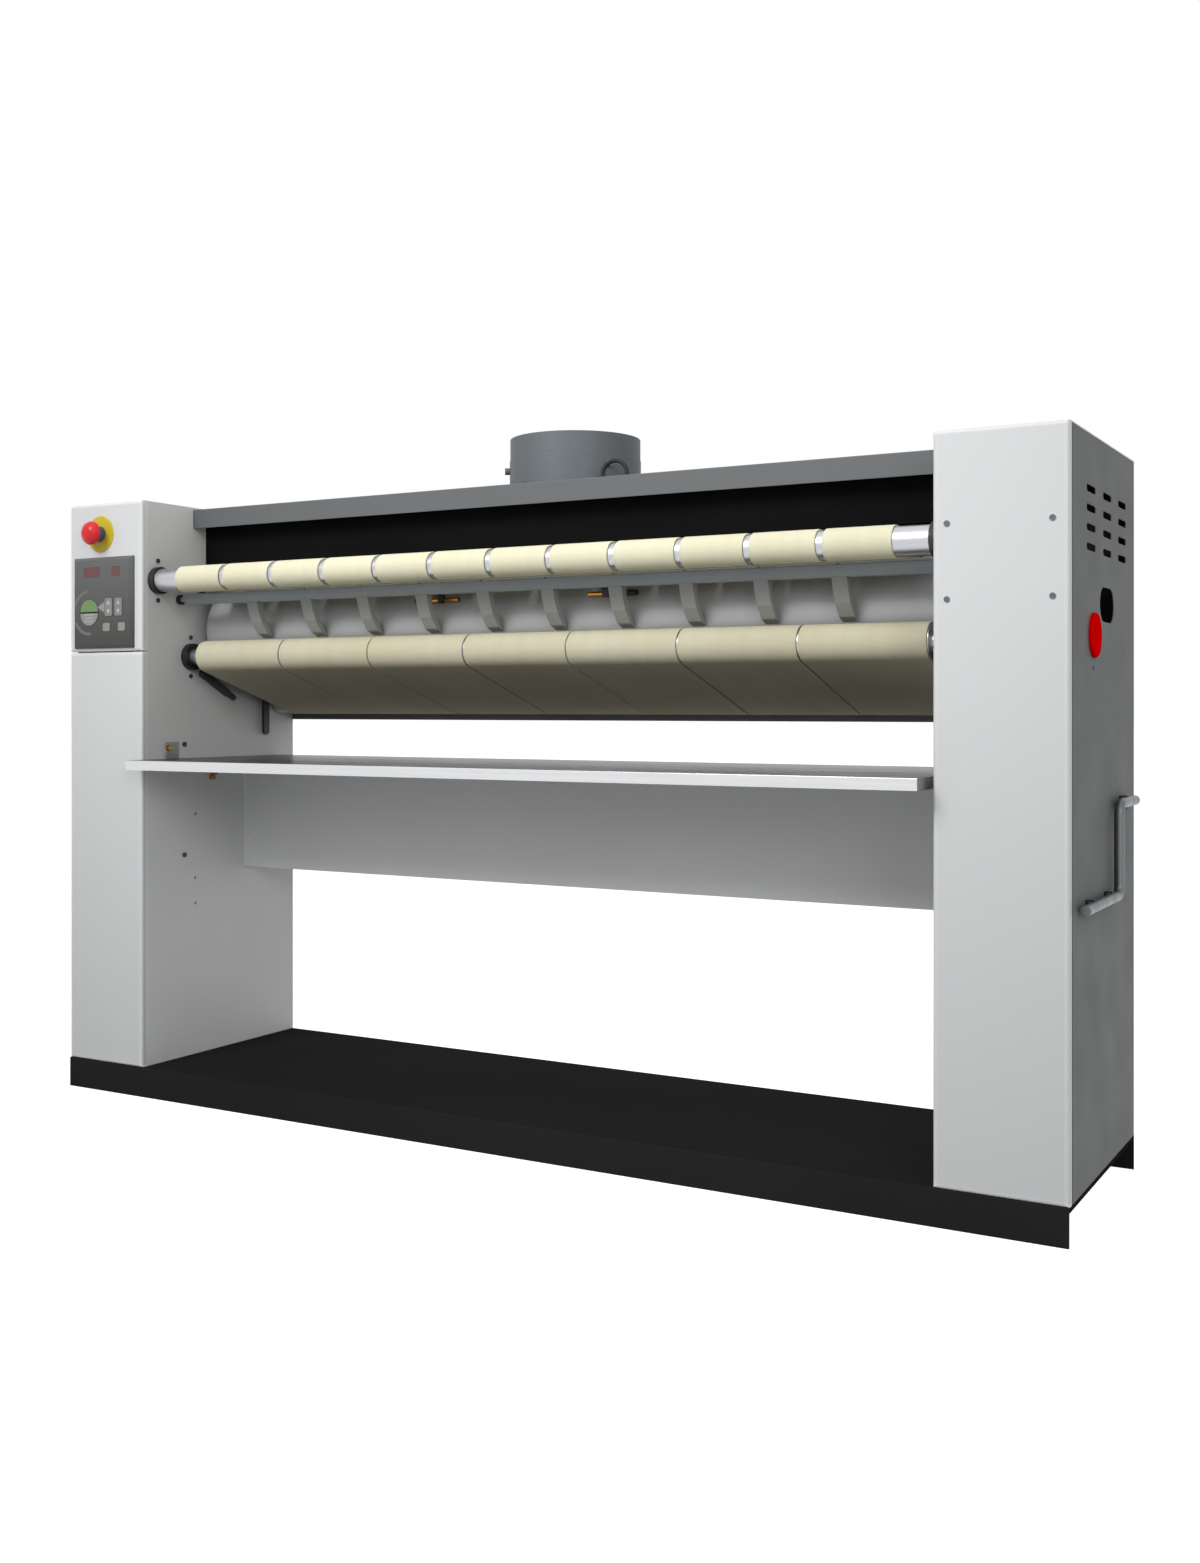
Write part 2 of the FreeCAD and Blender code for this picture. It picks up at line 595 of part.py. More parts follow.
column_caps = both_sides("column_caps", [block(
    "inner", "frame_front", "frame_top", "column_width", "rear - frame_front",
    "cap_sheet")])
column_rear_covers = both_sides("column_rear_covers", [block(
    "inner", "frame_rear", "plinth_height", "column_width - panel_sheet", "rear_sheet",
    "frame_top - plinth_height")])

# ---------------------------------------------------------------- hood and rear cover
hood_cover = prism("hood_cover", "YZ", "-inner", [
    (at("hood_front"), "hood_top - hood_flange"),
    (at("hood_front + hood_sheet"), "hood_top - hood_flange"),
    (at("hood_front + hood_sheet"), "hood_under"),
    ("skin_rear", "hood_under"), ("skin_rear", "hood_top - hood_flange"),
    ("rear", "hood_top - hood_flange"), ("rear", "hood_top"),
    (at("hood_front"), "hood_top")], "span")
soften(hood_cover, lambda e: e.BoundBox.XLength > 1
       and e.BoundBox.ZMin > number("hood_top") - 1e-4, "hood_sheet * sheet_bend")
mouth = new_sketch(hood_cover, "XY", "hood_top - hood_sheet - 1")
circle(mouth, "0", at("collar_y"), "collar_radius - collar_sheet")
circle(mouth, "cable_x", at("cable_y"), "cable_radius + bush_fit")
circle(mouth, "cable_x + 2 * cable_bend", at("cable_y"), "cable_radius + bush_fit")
cut(hood_cover, mouth, "hood_sheet + 2")

hood_apron = prism("hood_apron", "YZ", "-inner", [
    (at("apron_y"), "apron_bottom"), (at("apron_y + apron_fold"), "apron_bottom"),
    (at("apron_y + apron_fold"), "apron_bottom + apron_sheet"),
    (at("apron_y + apron_sheet"), "apron_bottom + apron_sheet"),
    (at("apron_y + apron_sheet"), "hood_under"),
    (at("apron_y"), "hood_under")], "span")
rear_cover = block("-inner", "frame_rear", "rear_bottom", "span", "rear_sheet",
                   "rear_cover_tall")
rear_cover.Label = "rear_cover"

# ---------------------------------------------------------------- exhaust and its fan
wall = "collar_radius - collar_sheet"
exhaust_collar = spin("exhaust_collar", "z", [
    ("0", wall), ("0", "collar_radius + collar_foot"),
    ("collar_sheet", "collar_radius + collar_foot"), ("collar_sheet", "collar_radius"),
    ("collar_tall - neck_tall", "collar_radius"),
    ("collar_tall - neck_tall", "collar_radius - neck_step"),
    ("collar_tall", "collar_radius - neck_step"), ("collar_tall", wall + " - neck_step"),
    ("collar_tall - neck_tall - collar_sheet", wall + " - neck_step"),
    ("collar_tall - neck_tall - collar_sheet", wall)],
    y=at("collar_y"), z="hood_top")

motor_can = spin("fan_can", "z", [
    ("fan_arm_z - fan_motor_tall / 2", "fan_shaft + running_fit"),
    ("fan_arm_z - fan_motor_tall / 2", "fan_motor_radius - fan_motor_edge"),
    ("fan_arm_z - fan_motor_tall / 2 + fan_motor_edge", "fan_motor_radius"),
    ("fan_arm_z + fan_motor_tall / 2 - fan_motor_edge", "fan_motor_radius"),
    ("fan_arm_z + fan_motor_tall / 2", "fan_motor_radius - fan_motor_edge"),
    ("fan_arm_z + fan_motor_tall / 2", "0"),
    ("fan_arm_z", "0"), ("fan_arm_z", "fan_shaft + running_fit")])
turns = [number("fan_arm_turn") + 360 * i / SIZES["fan_arms"]
         for i in range(SIZES["fan_arms"])]
arms = [spoke("fan_arm_radius", wall + " - belt_clear - fan_motor_radius + fan_arm_root",
              "fan_motor_radius - fan_arm_root", "fan_arm_z", turn) for turn in turns]
bolts = [spoke("fan_bolt_radius", "fan_bolt_proud", "collar_radius", "fan_arm_z", turn)
         for turn in turns]
fan_mount = group("fan_mount", [joined("fan_carrier", [motor_can] + arms)] + bolts)
fan_mount.setExpression("Placement.Base.y", bound(at("collar_y")))
fan_mount.setExpression("Placement.Base.z", bound("hood_top"))

fan_rotor = spin("fan_rotor", "z", shaft([
    ("fan_low", "fan_low + fan_tall", "fan_hub_radius"),
    ("fan_low + fan_tall", "fan_arm_z - fan_shaft_gap", "fan_shaft")]),
    y=at("collar_y"), z="hood_top")
blade_sketch = new_sketch(fan_rotor, "YZ", "fan_hub_radius * 0.8")
outline(blade_sketch, [
    ("-blade_reach", "fan_low"), ("-blade_reach + blade_thick", "fan_low"),
    ("blade_reach", "fan_low + fan_tall"),
    ("blade_reach - blade_thick", "fan_low + fan_tall")])
blade = pad(fan_rotor, blade_sketch,
            wall + " - fan_tip_gap - fan_hub_radius * 0.8")
ring = fan_rotor.newObject("PartDesign::PolarPattern", "BladeRing")
ring.Originals = [blade]
ring.Axis = (next(o for o in fan_rotor.Origin.OriginFeatures if o.Role == "Z_Axis"), [""])
ring.Angle = 360
ring.setExpression("Occurrences", bound("fan_blades"))
finish(fan_rotor, ring)

# the motor's cable arches over the hood between two glands
bend = doc.addObject("Part::Torus", "CableBend")
bend.setExpression("Radius1", bound("cable_bend"))
bend.setExpression("Radius2", bound("cable_radius"))
bend.Angle3 = 180
bend.Placement = FreeCAD.Placement(V(), FreeCAD.Rotation(V(1, 0, 0), 90))
for way, text in (("x", "cable_x + cable_bend"), ("y", at("cable_y")),
                  ("z", "hood_top + cable_leg")):
    bend.setExpression("Placement.Base." + way, bound(text))
leg_foot = "hood_under - cable_tail"
legs = [disc("z", "cable_radius", "cable_leg + hood_sheet + cable_tail", x, at("cable_y"), leg_foot)
        for x in ("cable_x", "cable_x + 2 * cable_bend")]
cable = joined("cable", [bend] + legs)
glands = []
for x, size in (("cable_x", "gland_radius"),
                ("cable_x + 2 * cable_bend", "gland_radius - gland_step")):
    nut = disc("z", size, size + " + gland_tall - gland_radius", x, at("cable_y"), "hood_top")
    bore = disc("z", "cable_radius + press_fit", "gland_tall + 2", x, at("cable_y"), "hood_top - 1")
    glands.append(without(fresh("Gland"), nut, bore))
fan_cable = group("fan_cable", [cable] + glands)

# ---------------------------------------------------------------- drum
axis = {"y": at("drum_y"), "z": "drum_z"}
drum_shell = spin("drum_shell", "x", [
    ("-drum_end", "drum_radius - drum_wall"), ("-drum_end", "drum_radius"),
    ("drum_end", "drum_radius"), ("drum_end", "drum_radius - drum_wall")], **axis)
bore = "axle_radius + running_fit"
disc_radius = "drum_radius - drum_wall - hub_fit"
hub_left = spin("hub_left", "x", [
    ("-drum_end + hub_disc", bore), ("-drum_end + hub_disc", disc_radius),
    ("-drum_end", disc_radius), ("-drum_end", "trunnion_radius"),
    ("-inner - left_trunnion", "trunnion_radius"), ("-inner - left_trunnion", bore)], **axis)
hub_right = spin("hub_right", "x", [
    ("drum_end - hub_disc", bore), ("drum_end - hub_disc", disc_radius),
    ("drum_end", disc_radius), ("drum_end", "trunnion_radius"),
    ("inner + right_trunnion", "trunnion_radius"),
    ("inner + right_trunnion", "crank_socket"),
    ("inner + right_trunnion - socket_depth", "crank_socket"),
    ("inner + right_trunnion - socket_depth", "0"), ("inner", "0"), ("inner", bore)],
    **axis)
drum_hubs = group("drum_hubs", [hub_left, hub_right])


def pulley(name, radius, hole, **place):
    # flat-bottomed groove between two cheeks
    rim = radius + " + pulley_rim"
    return spin(name, "x", [
        ("pulley_face", hole), ("pulley_face", rim), ("pulley_face + pulley_cheek", rim),
        ("pulley_face + pulley_cheek + pulley_rim / 4", radius),
        ("pulley_face + pulley_wide - pulley_cheek - pulley_rim / 4", radius),
        ("pulley_face + pulley_wide - pulley_cheek", rim),
        ("pulley_face + pulley_wide", rim), ("pulley_face + pulley_wide", hole)], **place)


drum_pulley = pulley("drum_pulley", "drum_pulley", "trunnion_radius + press_fit", **axis)
motor_axis = {"y": at("drum_y"), "z": "motor_z"}
motor_pulley = spin("motor_pulley", "x", [
    ("inner + frame_plate + gearbox_deep / 2", "0"),
    ("inner + frame_plate + gearbox_deep / 2", "motor_shaft"),
    ("pulley_face", "motor_shaft"), ("pulley_face", "motor_pulley + pulley_rim"),
    ("pulley_face + pulley_cheek", "motor_pulley + pulley_rim"),
    ("pulley_face + pulley_cheek + pulley_rim / 4", "motor_pulley"),
    ("pulley_face + pulley_wide - pulley_cheek - pulley_rim / 4", "motor_pulley"),
    ("pulley_face + pulley_wide - pulley_cheek", "motor_pulley + pulley_rim"),
    ("pulley_face + pulley_wide", "motor_pulley + pulley_rim"),
    ("pulley_face + pulley_wide", "0")], **motor_axis)
housing = block("inner + frame_plate", at("drum_y - gearbox_wide / 2"),
                "motor_z - gearbox_tall / 2", "gearbox_deep", "gearbox_wide",
                "gearbox_tall")
can = disc("z", "motor_radius", "motor_long", "inner + frame_plate + motor_radius + 1",
           at("drum_y"), "motor_z - gearbox_tall / 2 - motor_long")
shaft_hole = disc("x", "motor_shaft + running_fit", "gearbox_deep / 2 + 1",
                  "inner + frame_plate + gearbox_deep / 2 - 1", at("drum_y"), "motor_z")
gearmotor = without("gearmotor", joined("gear_case", [housing, can]), shaft_hole)

# fixed axle with six heating rods between two spiders inside the drum
axle = disc("x", "axle_radius", "2 * inner + left_trunnion + bracket_reach - end_play",
            "-inner - left_trunnion - bracket_reach", axis["y"], axis["z"])
spider_x = "drum_end - hub_disc - spider_inset"
spiders = [disc("x", "spider_radius", "spider_thick", x, axis["y"], axis["z"])
           for x in ("-(%s) - spider_thick" % spider_x, spider_x)]
rods = []
for turn in range(SIZES["heaters"]):
    share = 360 * turn / SIZES["heaters"]
    rods.append(disc("x", "heater_radius", "2 * (%s)" % spider_x, "-(%s)" % spider_x,
                     axis["y"] + " + heater_circle * cos(%g)" % share,
                     axis["z"] + " + heater_circle * sin(%g)" % share))
bracket_low = "drum_z - bracket_drop"
heater_bracket = prism("heater_bracket", "XZ", at("drum_y - axle_radius - bracket_side"), [
    ("-inner - frame_plate", bracket_low),
    ("-inner - frame_plate", bracket_low + " + bracket_foot"),
    ("bracket_x", bracket_low + " + bracket_foot"), ("bracket_x", "drum_z + bracket_rise"),
    ("bracket_x - bracket_thick", "drum_z + bracket_rise"),
    ("bracket_x - bracket_thick", bracket_low)], "2 * (axle_radius + bracket_side)")
heating_elements = group("heating_elements", [
    joined("heater_core", [axle] + spiders + rods),
    without("heater_holder", heater_bracket, disc(
        "x", "axle_radius + press_fit", "bracket_thick + 2",
        "bracket_x - bracket_thick - 1", axis["y"], axis["z"]))])

# ---------------------------------------------------------------- rollers
def roller(name, key, body_end, neck=None):
    steps = [(body_end, "ring_face - end_play", neck)] if neck else []
    right = [("0", body_end, key + "_radius")] + steps
    last = right[-1][1]
    right.append((last, "journal_end", "journal_radius"))
    left = [("-1 * (%s)" % b, "-1 * (%s)" % a, r) for a, b, r in reversed(right)]
    return spin(name, "x", shaft(left[:-1] + [(left[-1][0], body_end, key + "_radius")]
                                 + right[1:]), y=at(key + "_y"), z=key + "_z")


feed_roller = roller("feed_roller", "feed", "ring_face - end_play")
transfer_roller = roller("transfer_roller", "transfer", "bush_face - end_play")
exit_roller = roller("exit_roller", "exit",
                     "(press_belt_span + press_belt_wide) / 2 + belt_edge", "exit_neck")
lower_roller = roller("lower_roller", "lower", "bush_face - end_play")
upper_roller = roller("upper_roller", "upper", "bush_face - end_play")
nip_roller = roller("nip_roller", "nip", "bush_face - end_play")


def bearing(key, face, flange):
    hole = "journal_radius + running_fit"
    return spin(fresh("Bearing"), "x", [
        (face, hole), (face, flange), ("inner", flange), ("inner", "bush_body"),
        ("journal_end", "bush_body"), ("journal_end", hole)], y=at(key + "_y"), z=key + "_z")


flange_bearings = both_sides("flange_bearings", [
    bearing("feed", "ring_face", "ring_radius"), bearing("exit", "ring_face", "ring_radius")])
bar_bush = spin("bar_bush", "x", [
    ("inner - bar_bush_wide", "bar_pin + running_fit"), ("inner - bar_bush_wide", "bar_bush"),
    ("inner", "bar_bush"), ("inner", "bar_pin + bar_bush_wall"),
    ("inner + frame_plate", "bar_pin + bar_bush_wall"),
    ("inner + frame_plate", "bar_pin + running_fit")], y=at("bar_y"), z="bar_z")
main_bearing = spin("main_bearing", "x", [
    ("inner + frame_plate", "trunnion_radius + running_fit"),
    ("inner + frame_plate", "main_bearing_radius"),
    ("inner + frame_plate + main_flange", "main_bearing_radius"),
    ("inner + frame_plate + main_flange", "main_hub_radius"),
    ("inner + frame_plate + main_bearing_wide", "main_hub_radius"),
    ("inner + frame_plate + main_bearing_wide", "trunnion_radius + running_fit")], **axis)
inner_bearings = both_sides("inner_bearings", [
    bearing(key, "bush_face", "bush_radius")
    for key in ("transfer", "lower", "upper", "nip")] + [bar_bush, main_bearing])


# ---------------------------------------------------------------- belts
def loop_wire(stations, lift):
    # closed path round circles (y, z, radius, turn), lifted off them by a distance;
    # turn is 1 for a circle inside the loop and -1 for one that presses from outside
    rings = [(V(0, y, z), radius + turn * lift, turn) for y, z, radius, turn in stations]
    ties = []
    for i, (a, ra, ta) in enumerate(rings):
        b, rb, tb = rings[(i + 1) % len(rings)]
        along = (b - a).normalize()
        share = (tb * rb - ta * ra) / (b - a).Length
        left = V(0, -along.z, along.y)
        normal = along * share + left * math.sqrt(1 - share * share)
        ties.append((a - normal * ta * ra, b - normal * tb * rb))
    parts = []
    for i, (centre, radius, turn) in enumerate(rings):
        start, end = ties[i - 1][1], ties[i][0]
        first = math.atan2(start.z - centre.z, start.y - centre.y)
        last = math.atan2(end.z - centre.z, end.y - centre.y)
        sweep = (turn * (last - first)) % (2 * math.pi)
        half = first + turn * sweep / 2
        middle = centre + V(0, math.cos(half), math.sin(half)) * radius
        parts.append(Part.Arc(start, middle, end).toShape())
        parts.append(Part.LineSegment(*ties[i]).toShape())
    return Part.Wire(parts)


def belts(name, stations, thick, count, wide, pitch):
    outer = Part.Face(loop_wire(stations, thick))
    section = outer.cut(Part.Face(loop_wire(stations, 0)))
    first = -(pitch * (count - 1) + wide) / 2
    made = doc.addObject("Part::Feature", name)
    made.Shape = Part.makeCompound([
        section.translated(V(first + pitch * i, 0, 0)).extrude(V(wide, 0, 0)).Solids[0]
        for i in range(count)])
    return made


def ring_at(key, gap, turn=1):
    return (number(at(key + "_y")), number(key + "_z"),
            number(key + "_radius + " + gap), turn)


feed_belts = belts("feed_belts", [ring_at(key, "belt_clear") for key in ("feed", "transfer")],
                   number("belt_thick"), SIZES["feed_belt_count"],
                   number("feed_belt_wide"), number("feed_belt_pitch"))
press_belts = belts("press_belts", [
    ring_at("exit", "belt_clear"), ring_at("lower", "belt_clear"),
    ring_at("upper", "belt_clear"), ring_at("nip", "belt_clear"),
    ring_at("drum", "belt_clear + belt_thick", -1)],
    number("belt_thick"), SIZES["press_belt_count"], number("press_belt_wide"),
    number("press_belt_pitch"))
drive_rings = [(number(at("drum_y")), number(z), number(r + " + drive_clear"), 1)
               for z, r in (("motor_z", "motor_pulley"), ("drum_z", "drum_pulley"))]
drive_belt = belts("drive_belt", drive_rings, number("drive_belt_thick"), 1,
                   number("drive_belt_wide - pulley_rim / 2 - 2 * drive_clear"), 0)
drive_belt.setExpression("Placement.Base.x", bound("pulley_face + pulley_wide / 2"))

# ---------------------------------------------------------------- finger bar
bar = {"y": at("bar_y"), "z": "bar_z"}
bar_end = "(inner - bar_end_gap)"
bar_body = prism("bar_body", "YZ", "-" + bar_end, [
    ("-bar_nose", "bar_top"), ("-bar_nose", "bar_top - bar_front_tall"),
    ("-bar_nose + bar_bevel", "-bar_foot"), ("bar_deep", "-bar_foot"),
    ("bar_deep", "-bar_foot + bar_back_tall"), ("bar_deep - bar_bevel", "bar_top")],
    "2 * " + bar_end, **bar)
bar_pins = [disc("x", "bar_pin", "bar_end_gap + frame_plate + bar_pin_root", x, bar["y"], bar["z"])
            for x in ("-inner - frame_plate", bar_end + " - bar_pin_root")]
finger_bar = joined("finger_bar", [bar_body] + bar_pins)

# stripper finger: hangs behind the bar and curls back to the drum
fingers = new_body("finger_row", **bar)
finger_side = new_sketch(fingers, "YZ", "-(finger_span + finger_wide) / 2")
outline(finger_side, [
    ("bar_deep - finger_root", "-bar_foot"),
    ("bar_deep - finger_root * 0.68", "-bar_foot - finger_long * 0.31"),
    ("bar_deep - finger_root * 0.16", "-bar_foot - finger_long * 0.66"),
    ("bar_deep + finger_root * 0.79", "-bar_foot - finger_long"),
    ("finger_tip_y - bar_y", "finger_tip_z - bar_z"),
    ("bar_deep + finger_root * 1.1", "-bar_foot - finger_long * 0.83"),
    ("bar_deep + finger_root * 0.42", "-bar_foot - finger_long * 0.55"),
    ("bar_deep", "-bar_foot - finger_long * 0.24"), ("bar_deep", "-bar_foot")])
finger = pad(fingers, finger_side, "finger_wide")
row(fingers, finger, "X", "finger_count", "finger_pitch")
studs = []
for i in range(SIZES["finger_count"]):
    studs.append(disc("z", "stud_radius", "stud_tall",
                      "finger_pitch * %g" % (i - (SIZES["finger_count"] - 1) / 2),
                      at("bar_y"), "bar_z + bar_top"))
stripper_fingers = group("stripper_fingers", [fingers] + studs)

bulbs, caps, clips = [], [], []
for sign, middle in ((-1, "bulb_left_x"), (1, "bulb_right_x")):
    place = (at("bulb_y"), "bulb_z")
    bulbs.append(disc("x", "bulb_radius", "bulb_long", middle + " - bulb_long / 2", *place))
    cap_x = (middle + " - bulb_long / 2 - bulb_cap" if sign < 0
             else middle + " + bulb_long / 2")
    caps.append(disc("x", "bulb_radius + bulb_cap_wall", "bulb_cap", cap_x, *place))
    strap = prism(fresh("Strap"), "YZ", middle + " - clip_wide / 2", [
        (at("bar_y + bar_deep"), "bar_z - bar_foot"),
        (at("bar_y + bar_deep"), "bar_z - bar_foot + bar_back_tall"),
        (at("bar_y + bar_deep + clip_sheet"), "bar_z - bar_foot + bar_back_tall"),
        (at("bar_y + bar_deep + clip_sheet"), "bar_z - bar_foot + clip_sheet"),
        (at("bulb_y"), "bar_z - bar_foot + clip_sheet"),
        (at("bulb_y"), "bulb_z - bulb_radius - clip_sheet"),
        (at("bulb_y - bulb_radius - clip_sheet"), "bulb_z - bulb_radius - clip_sheet"),
        (at("bulb_y - bulb_radius - clip_sheet"), "bar_z - bar_foot")], "clip_wide")
    clips.append(without(fresh("Clip"), strap, disc(
        "x", "bulb_radius + press_fit", "clip_wide + 2", middle + " - clip_wide / 2 - 1", *place)))
thermostat_bulbs = group("thermostat_bulbs", bulbs)
thermostat_clips = group("thermostat_clips", clips + caps)


# ---------------------------------------------------------------- take-ups and lever
takeup = new_body("takeup_bar", y=at("takeup_y"), z="takeup_z")
takeup.Placement = FreeCAD.Placement(V(), FreeCAD.Rotation(V(1, 0, 0),
                                                         -number("takeup_turn")))
side_view = new_sketch(takeup, "YZ", "inner - takeup_thick")
slot(side_view, "takeup_long / 2", "0", "takeup_long", "takeup_wide")
pad(takeup, side_view, "takeup_thick")
takeup_bolt = doc.addObject("Part::Prism", "TakeupBolt")
takeup_bolt.Polygon = 6
takeup_bolt.setExpression("Circumradius", bound("takeup_bolt"))
takeup_bolt.setExpression("Height", bound("takeup_bolt_long"))
for way, text in (("x", "inner - takeup_bolt - belt_clear"),
                  ("y", at("takeup_y + takeup_long * cos(takeup_turn)")),
                  ("z", "takeup_z - takeup_long * sin(takeup_turn)")):
    takeup_bolt.setExpression("Placement.Base." + way, bound(text))
turn = math.radians(number("takeup_turn"))
takeup_bolt.Placement = FreeCAD.Placement(
    takeup_bolt.Placement.Base,
    FreeCAD.Rotation(V(0, 0, 1), V(0, math.cos(turn), -math.sin(turn))))
belt_take_ups = both_sides("belt_take_ups", [takeup, takeup_bolt])

lever_y = at("lever_y")
lever_face = "-inner + lever_gap"
lever_plate = new_body("lever_plate", y=lever_y, z="lever_z")
lever_side = new_sketch(lever_plate, "YZ", lever_face)
outline(lever_side, box_outline("-lever_wide / 2", "lever_low - lever_z",
                                "lever_wide / 2", "lever_wide / 2"))
pad(lever_plate, lever_side, "lever_thick")
soften(lever_plate, lambda e: e.BoundBox.XLength > 1 and e.BoundBox.YLength < 1e-4
       and e.BoundBox.ZLength < 1e-4, "lever_wide * 0.45")
lever_stub = disc("x", "lever_pin", "frame_plate + lever_gap + lever_pin_root",
                  "-inner - frame_plate", lever_y, "lever_z")
tension_lever = joined("tension_lever", [lever_plate, lever_stub])

# ---------------------------------------------------------------- shelf tray
tray_top_plate = prism("tray_plate", "YZ", "-tray_end", [
    (at("-lip_reach"), "tray_top - tray_lip"),
    (at("-lip_reach + tray_sheet"), "tray_top - tray_lip"),
    (at("-lip_reach + tray_sheet"), "tray_top - tray_sheet"),
    (at("tray_rear - tray_sheet"), "tray_top - tray_sheet"),
    (at("tray_rear - tray_sheet"), "tray_top - tray_lip"),
    (at("tray_rear"), "tray_top - tray_lip"), (at("tray_rear"), "tray_top"),
    (at("-lip_reach"), "tray_top")], "2 * tray_end")
soften(tray_top_plate, lambda e: e.BoundBox.XLength > 1
       and e.BoundBox.ZMin > number("tray_top") - 1e-4, "tray_sheet * sheet_bend")
hook = "pin_radius + pin_slack"
ear = prism("tray_ear", "YZ", "tray_end - tray_sheet", [
    (at("pin_front_y - ear_wide / 2"), "tray_top - tray_lip"),
    (at("pin_front_y - ear_wide / 2"), "pin_front_z - " + hook),
    (at("pin_front_y + pin_radius"), "pin_front_z - " + hook),
    (at("pin_front_y + pin_radius"), "pin_front_z + " + hook),
    (at("pin_front_y - ear_wide / 2"), "pin_front_z + " + hook),
    (at("pin_front_y - ear_wide / 2"), "pin_front_z + ear_wide / 2"),
    (at("pin_front_y + ear_wide"), "pin_front_z + ear_wide / 2"),
    (at("pin_front_y + ear_wide"), "tray_top - tray_lip"),
    (at("pin_rear_y - ear_wide / 2"), "tray_top - tray_lip"),
    (at("pin_rear_y - ear_wide / 2"), "pin_rear_z + " + hook),
    (at("pin_rear_y + ear_wide / 2"), "pin_rear_z + " + hook),
    (at("pin_rear_y + ear_wide / 2"), "tray_top - tray_lip"),
    (at("tray_rear"), "tray_top - tray_lip"), (at("tray_rear"), "tray_top"),
    (at("pin_front_y + ear_wide + ear_slope"), "tray_top"),
    (at("-lip_reach + tray_sheet"), "tray_top"),
    (at("-lip_reach + tray_sheet"), "tray_top - tray_lip")], "tray_sheet")
shelf_tray = joined("shelf_tray", [tray_top_plate, ear, mirrored(ear)])
shelf_pins = both_sides("shelf_pins", [
    disc("x", "pin_radius", "pin_reach", "inner - pin_reach", at(y), z)
    for y, z in (("pin_front_y", "pin_front_z"), ("pin_rear_y", "pin_rear_z"))])

cross_panel = prism("cross_panel", "YZ", "-inner", [
    (at("cross_y"), "cross_bottom"), (at("cross_y + cross_fold"), "cross_bottom"),
    (at("cross_y + cross_fold"), "cross_bottom + cross_sheet"),
    (at("cross_y + cross_sheet"), "cross_bottom + cross_sheet"),
    (at("cross_y + cross_sheet"), "cross_top"), (at("cross_y"), "cross_top")], "span")
cross_hole = new_sketch(cross_panel, "XZ", at("cross_y - 1"))
circle(cross_hole, "-inner + cross_hole_inset", "cross_bottom + cross_hole_rise",
       "cross_hole")
cut(cross_panel, cross_hole, "cross_sheet + 2")

# ---------------------------------------------------------------- screws
heads = [disc("x", "screw_head", "screw_proud + 1", "inner - screw_proud - 1", at(y),
              "%s + %s" % (z, half))
         for y, z in (("feed_y", "feed_z"), ("exit_y", "exit_z"))
         for half in ("bearing_bolt_pitch / 2", "(-bearing_bolt_pitch / 2)")]
cover_screws = []
for x in ("inner + screw_inset", "side - screw_inset - 1"):
    for z in ("screw_high", "screw_low"):
        cover_screws.append(joined(fresh("Screw"), [
            disc("y", "screw_head", "screw_proud", x, "front - screw_proud", z),
            disc("y", "screw_radius", "fold_depth - 0.2", x, "front - 0.2", z)]))
collar_screws = group("collar_screws", [
    spoke("screw_head", "foot_screw_proud", "collar_radius", "foot_screw_z",
          number("foot_screw_turn") + 360 * i / SIZES["foot_screws"])
    for i in range(SIZES["foot_screws"])])
collar_screws.setExpression("Placement.Base.y", bound(at("collar_y")))
collar_screws.setExpression("Placement.Base.z", bound("hood_top"))
screws = group("screws", heads + [mirrored(head) for head in heads] + cover_screws
               + [collar_screws])
wall_screws = both_sides("wall_screws", [
    disc("x", "wall_screw_radius", "wall_screw_proud", "inner - wall_screw_proud",
         at("wall_screw_y"), z) for z in ("wall_screw_high", "wall_screw_low")])


# ---------------------------------------------------------------- operating panel
def key_box(x, z, wide, tall, grow="0"):
    return ("-%s - %s / 2 - %s" % (x, wide, grow), "%s - %s / 2 - %s" % (z, tall, grow),
            "-%s + %s / 2 + %s" % (x, wide, grow), "%s + %s / 2 + %s" % (z, tall, grow))


KEYS = {
    "tall_key_left": ("tall_key_left_x", "tall_key_z", "tall_key_wide", "tall_key_tall"),
    "tall_key_right": ("tall_key_right_x", "tall_key_z", "tall_key_wide", "tall_key_tall"),
    "low_key_left": ("low_key_left_x", "low_key_z", "low_key_wide", "low_key_tall"),
    "low_key_right": ("low_key_right_x", "low_key_z", "low_key_wide", "low_key_tall"),
}
WINDOWS = [("wide_display_x", "display_z", "wide_display", "display_tall"),
           ("small_display_x", "display_z", "small_display", "display_tall")]


def half_disc(sketch, x, z, radius, sign, grow):
    # half circle over (1) or under (-1) a straight edge
    cx, cz = number("-" + x), number(z) + sign * number("round_key_split / 2 - (%s)" % grow)
    r = number("%s + %s" % (radius, grow))
    c = V(cx, cz, 0)
    turn = (0, math.pi) if sign > 0 else (math.pi, 2 * math.pi)
    arc = sketch.addGeometry(Part.ArcOfCircle(Part.Circle(c, V(0, 0, 1), r), *turn))
    flat = sketch.addGeometry(Part.LineSegment(c - V(sign * r, 0, 0), c + V(sign * r, 0, 0)))
    sketch.addConstraint(Sketcher.Constraint("Coincident", arc, 2, flat, 1))
    sketch.addConstraint(Sketcher.Constraint("Coincident", flat, 2, arc, 1))
    sketch.addConstraint(Sketcher.Constraint("Horizontal", flat))
    edge = "%s + %d * (round_key_split / 2 - (%s))" % (z, sign, grow)
    pin_down(sketch, arc, 3, "-" + x, edge)
    hold(sketch, "Radius", "%s + %s" % (radius, grow), arc)


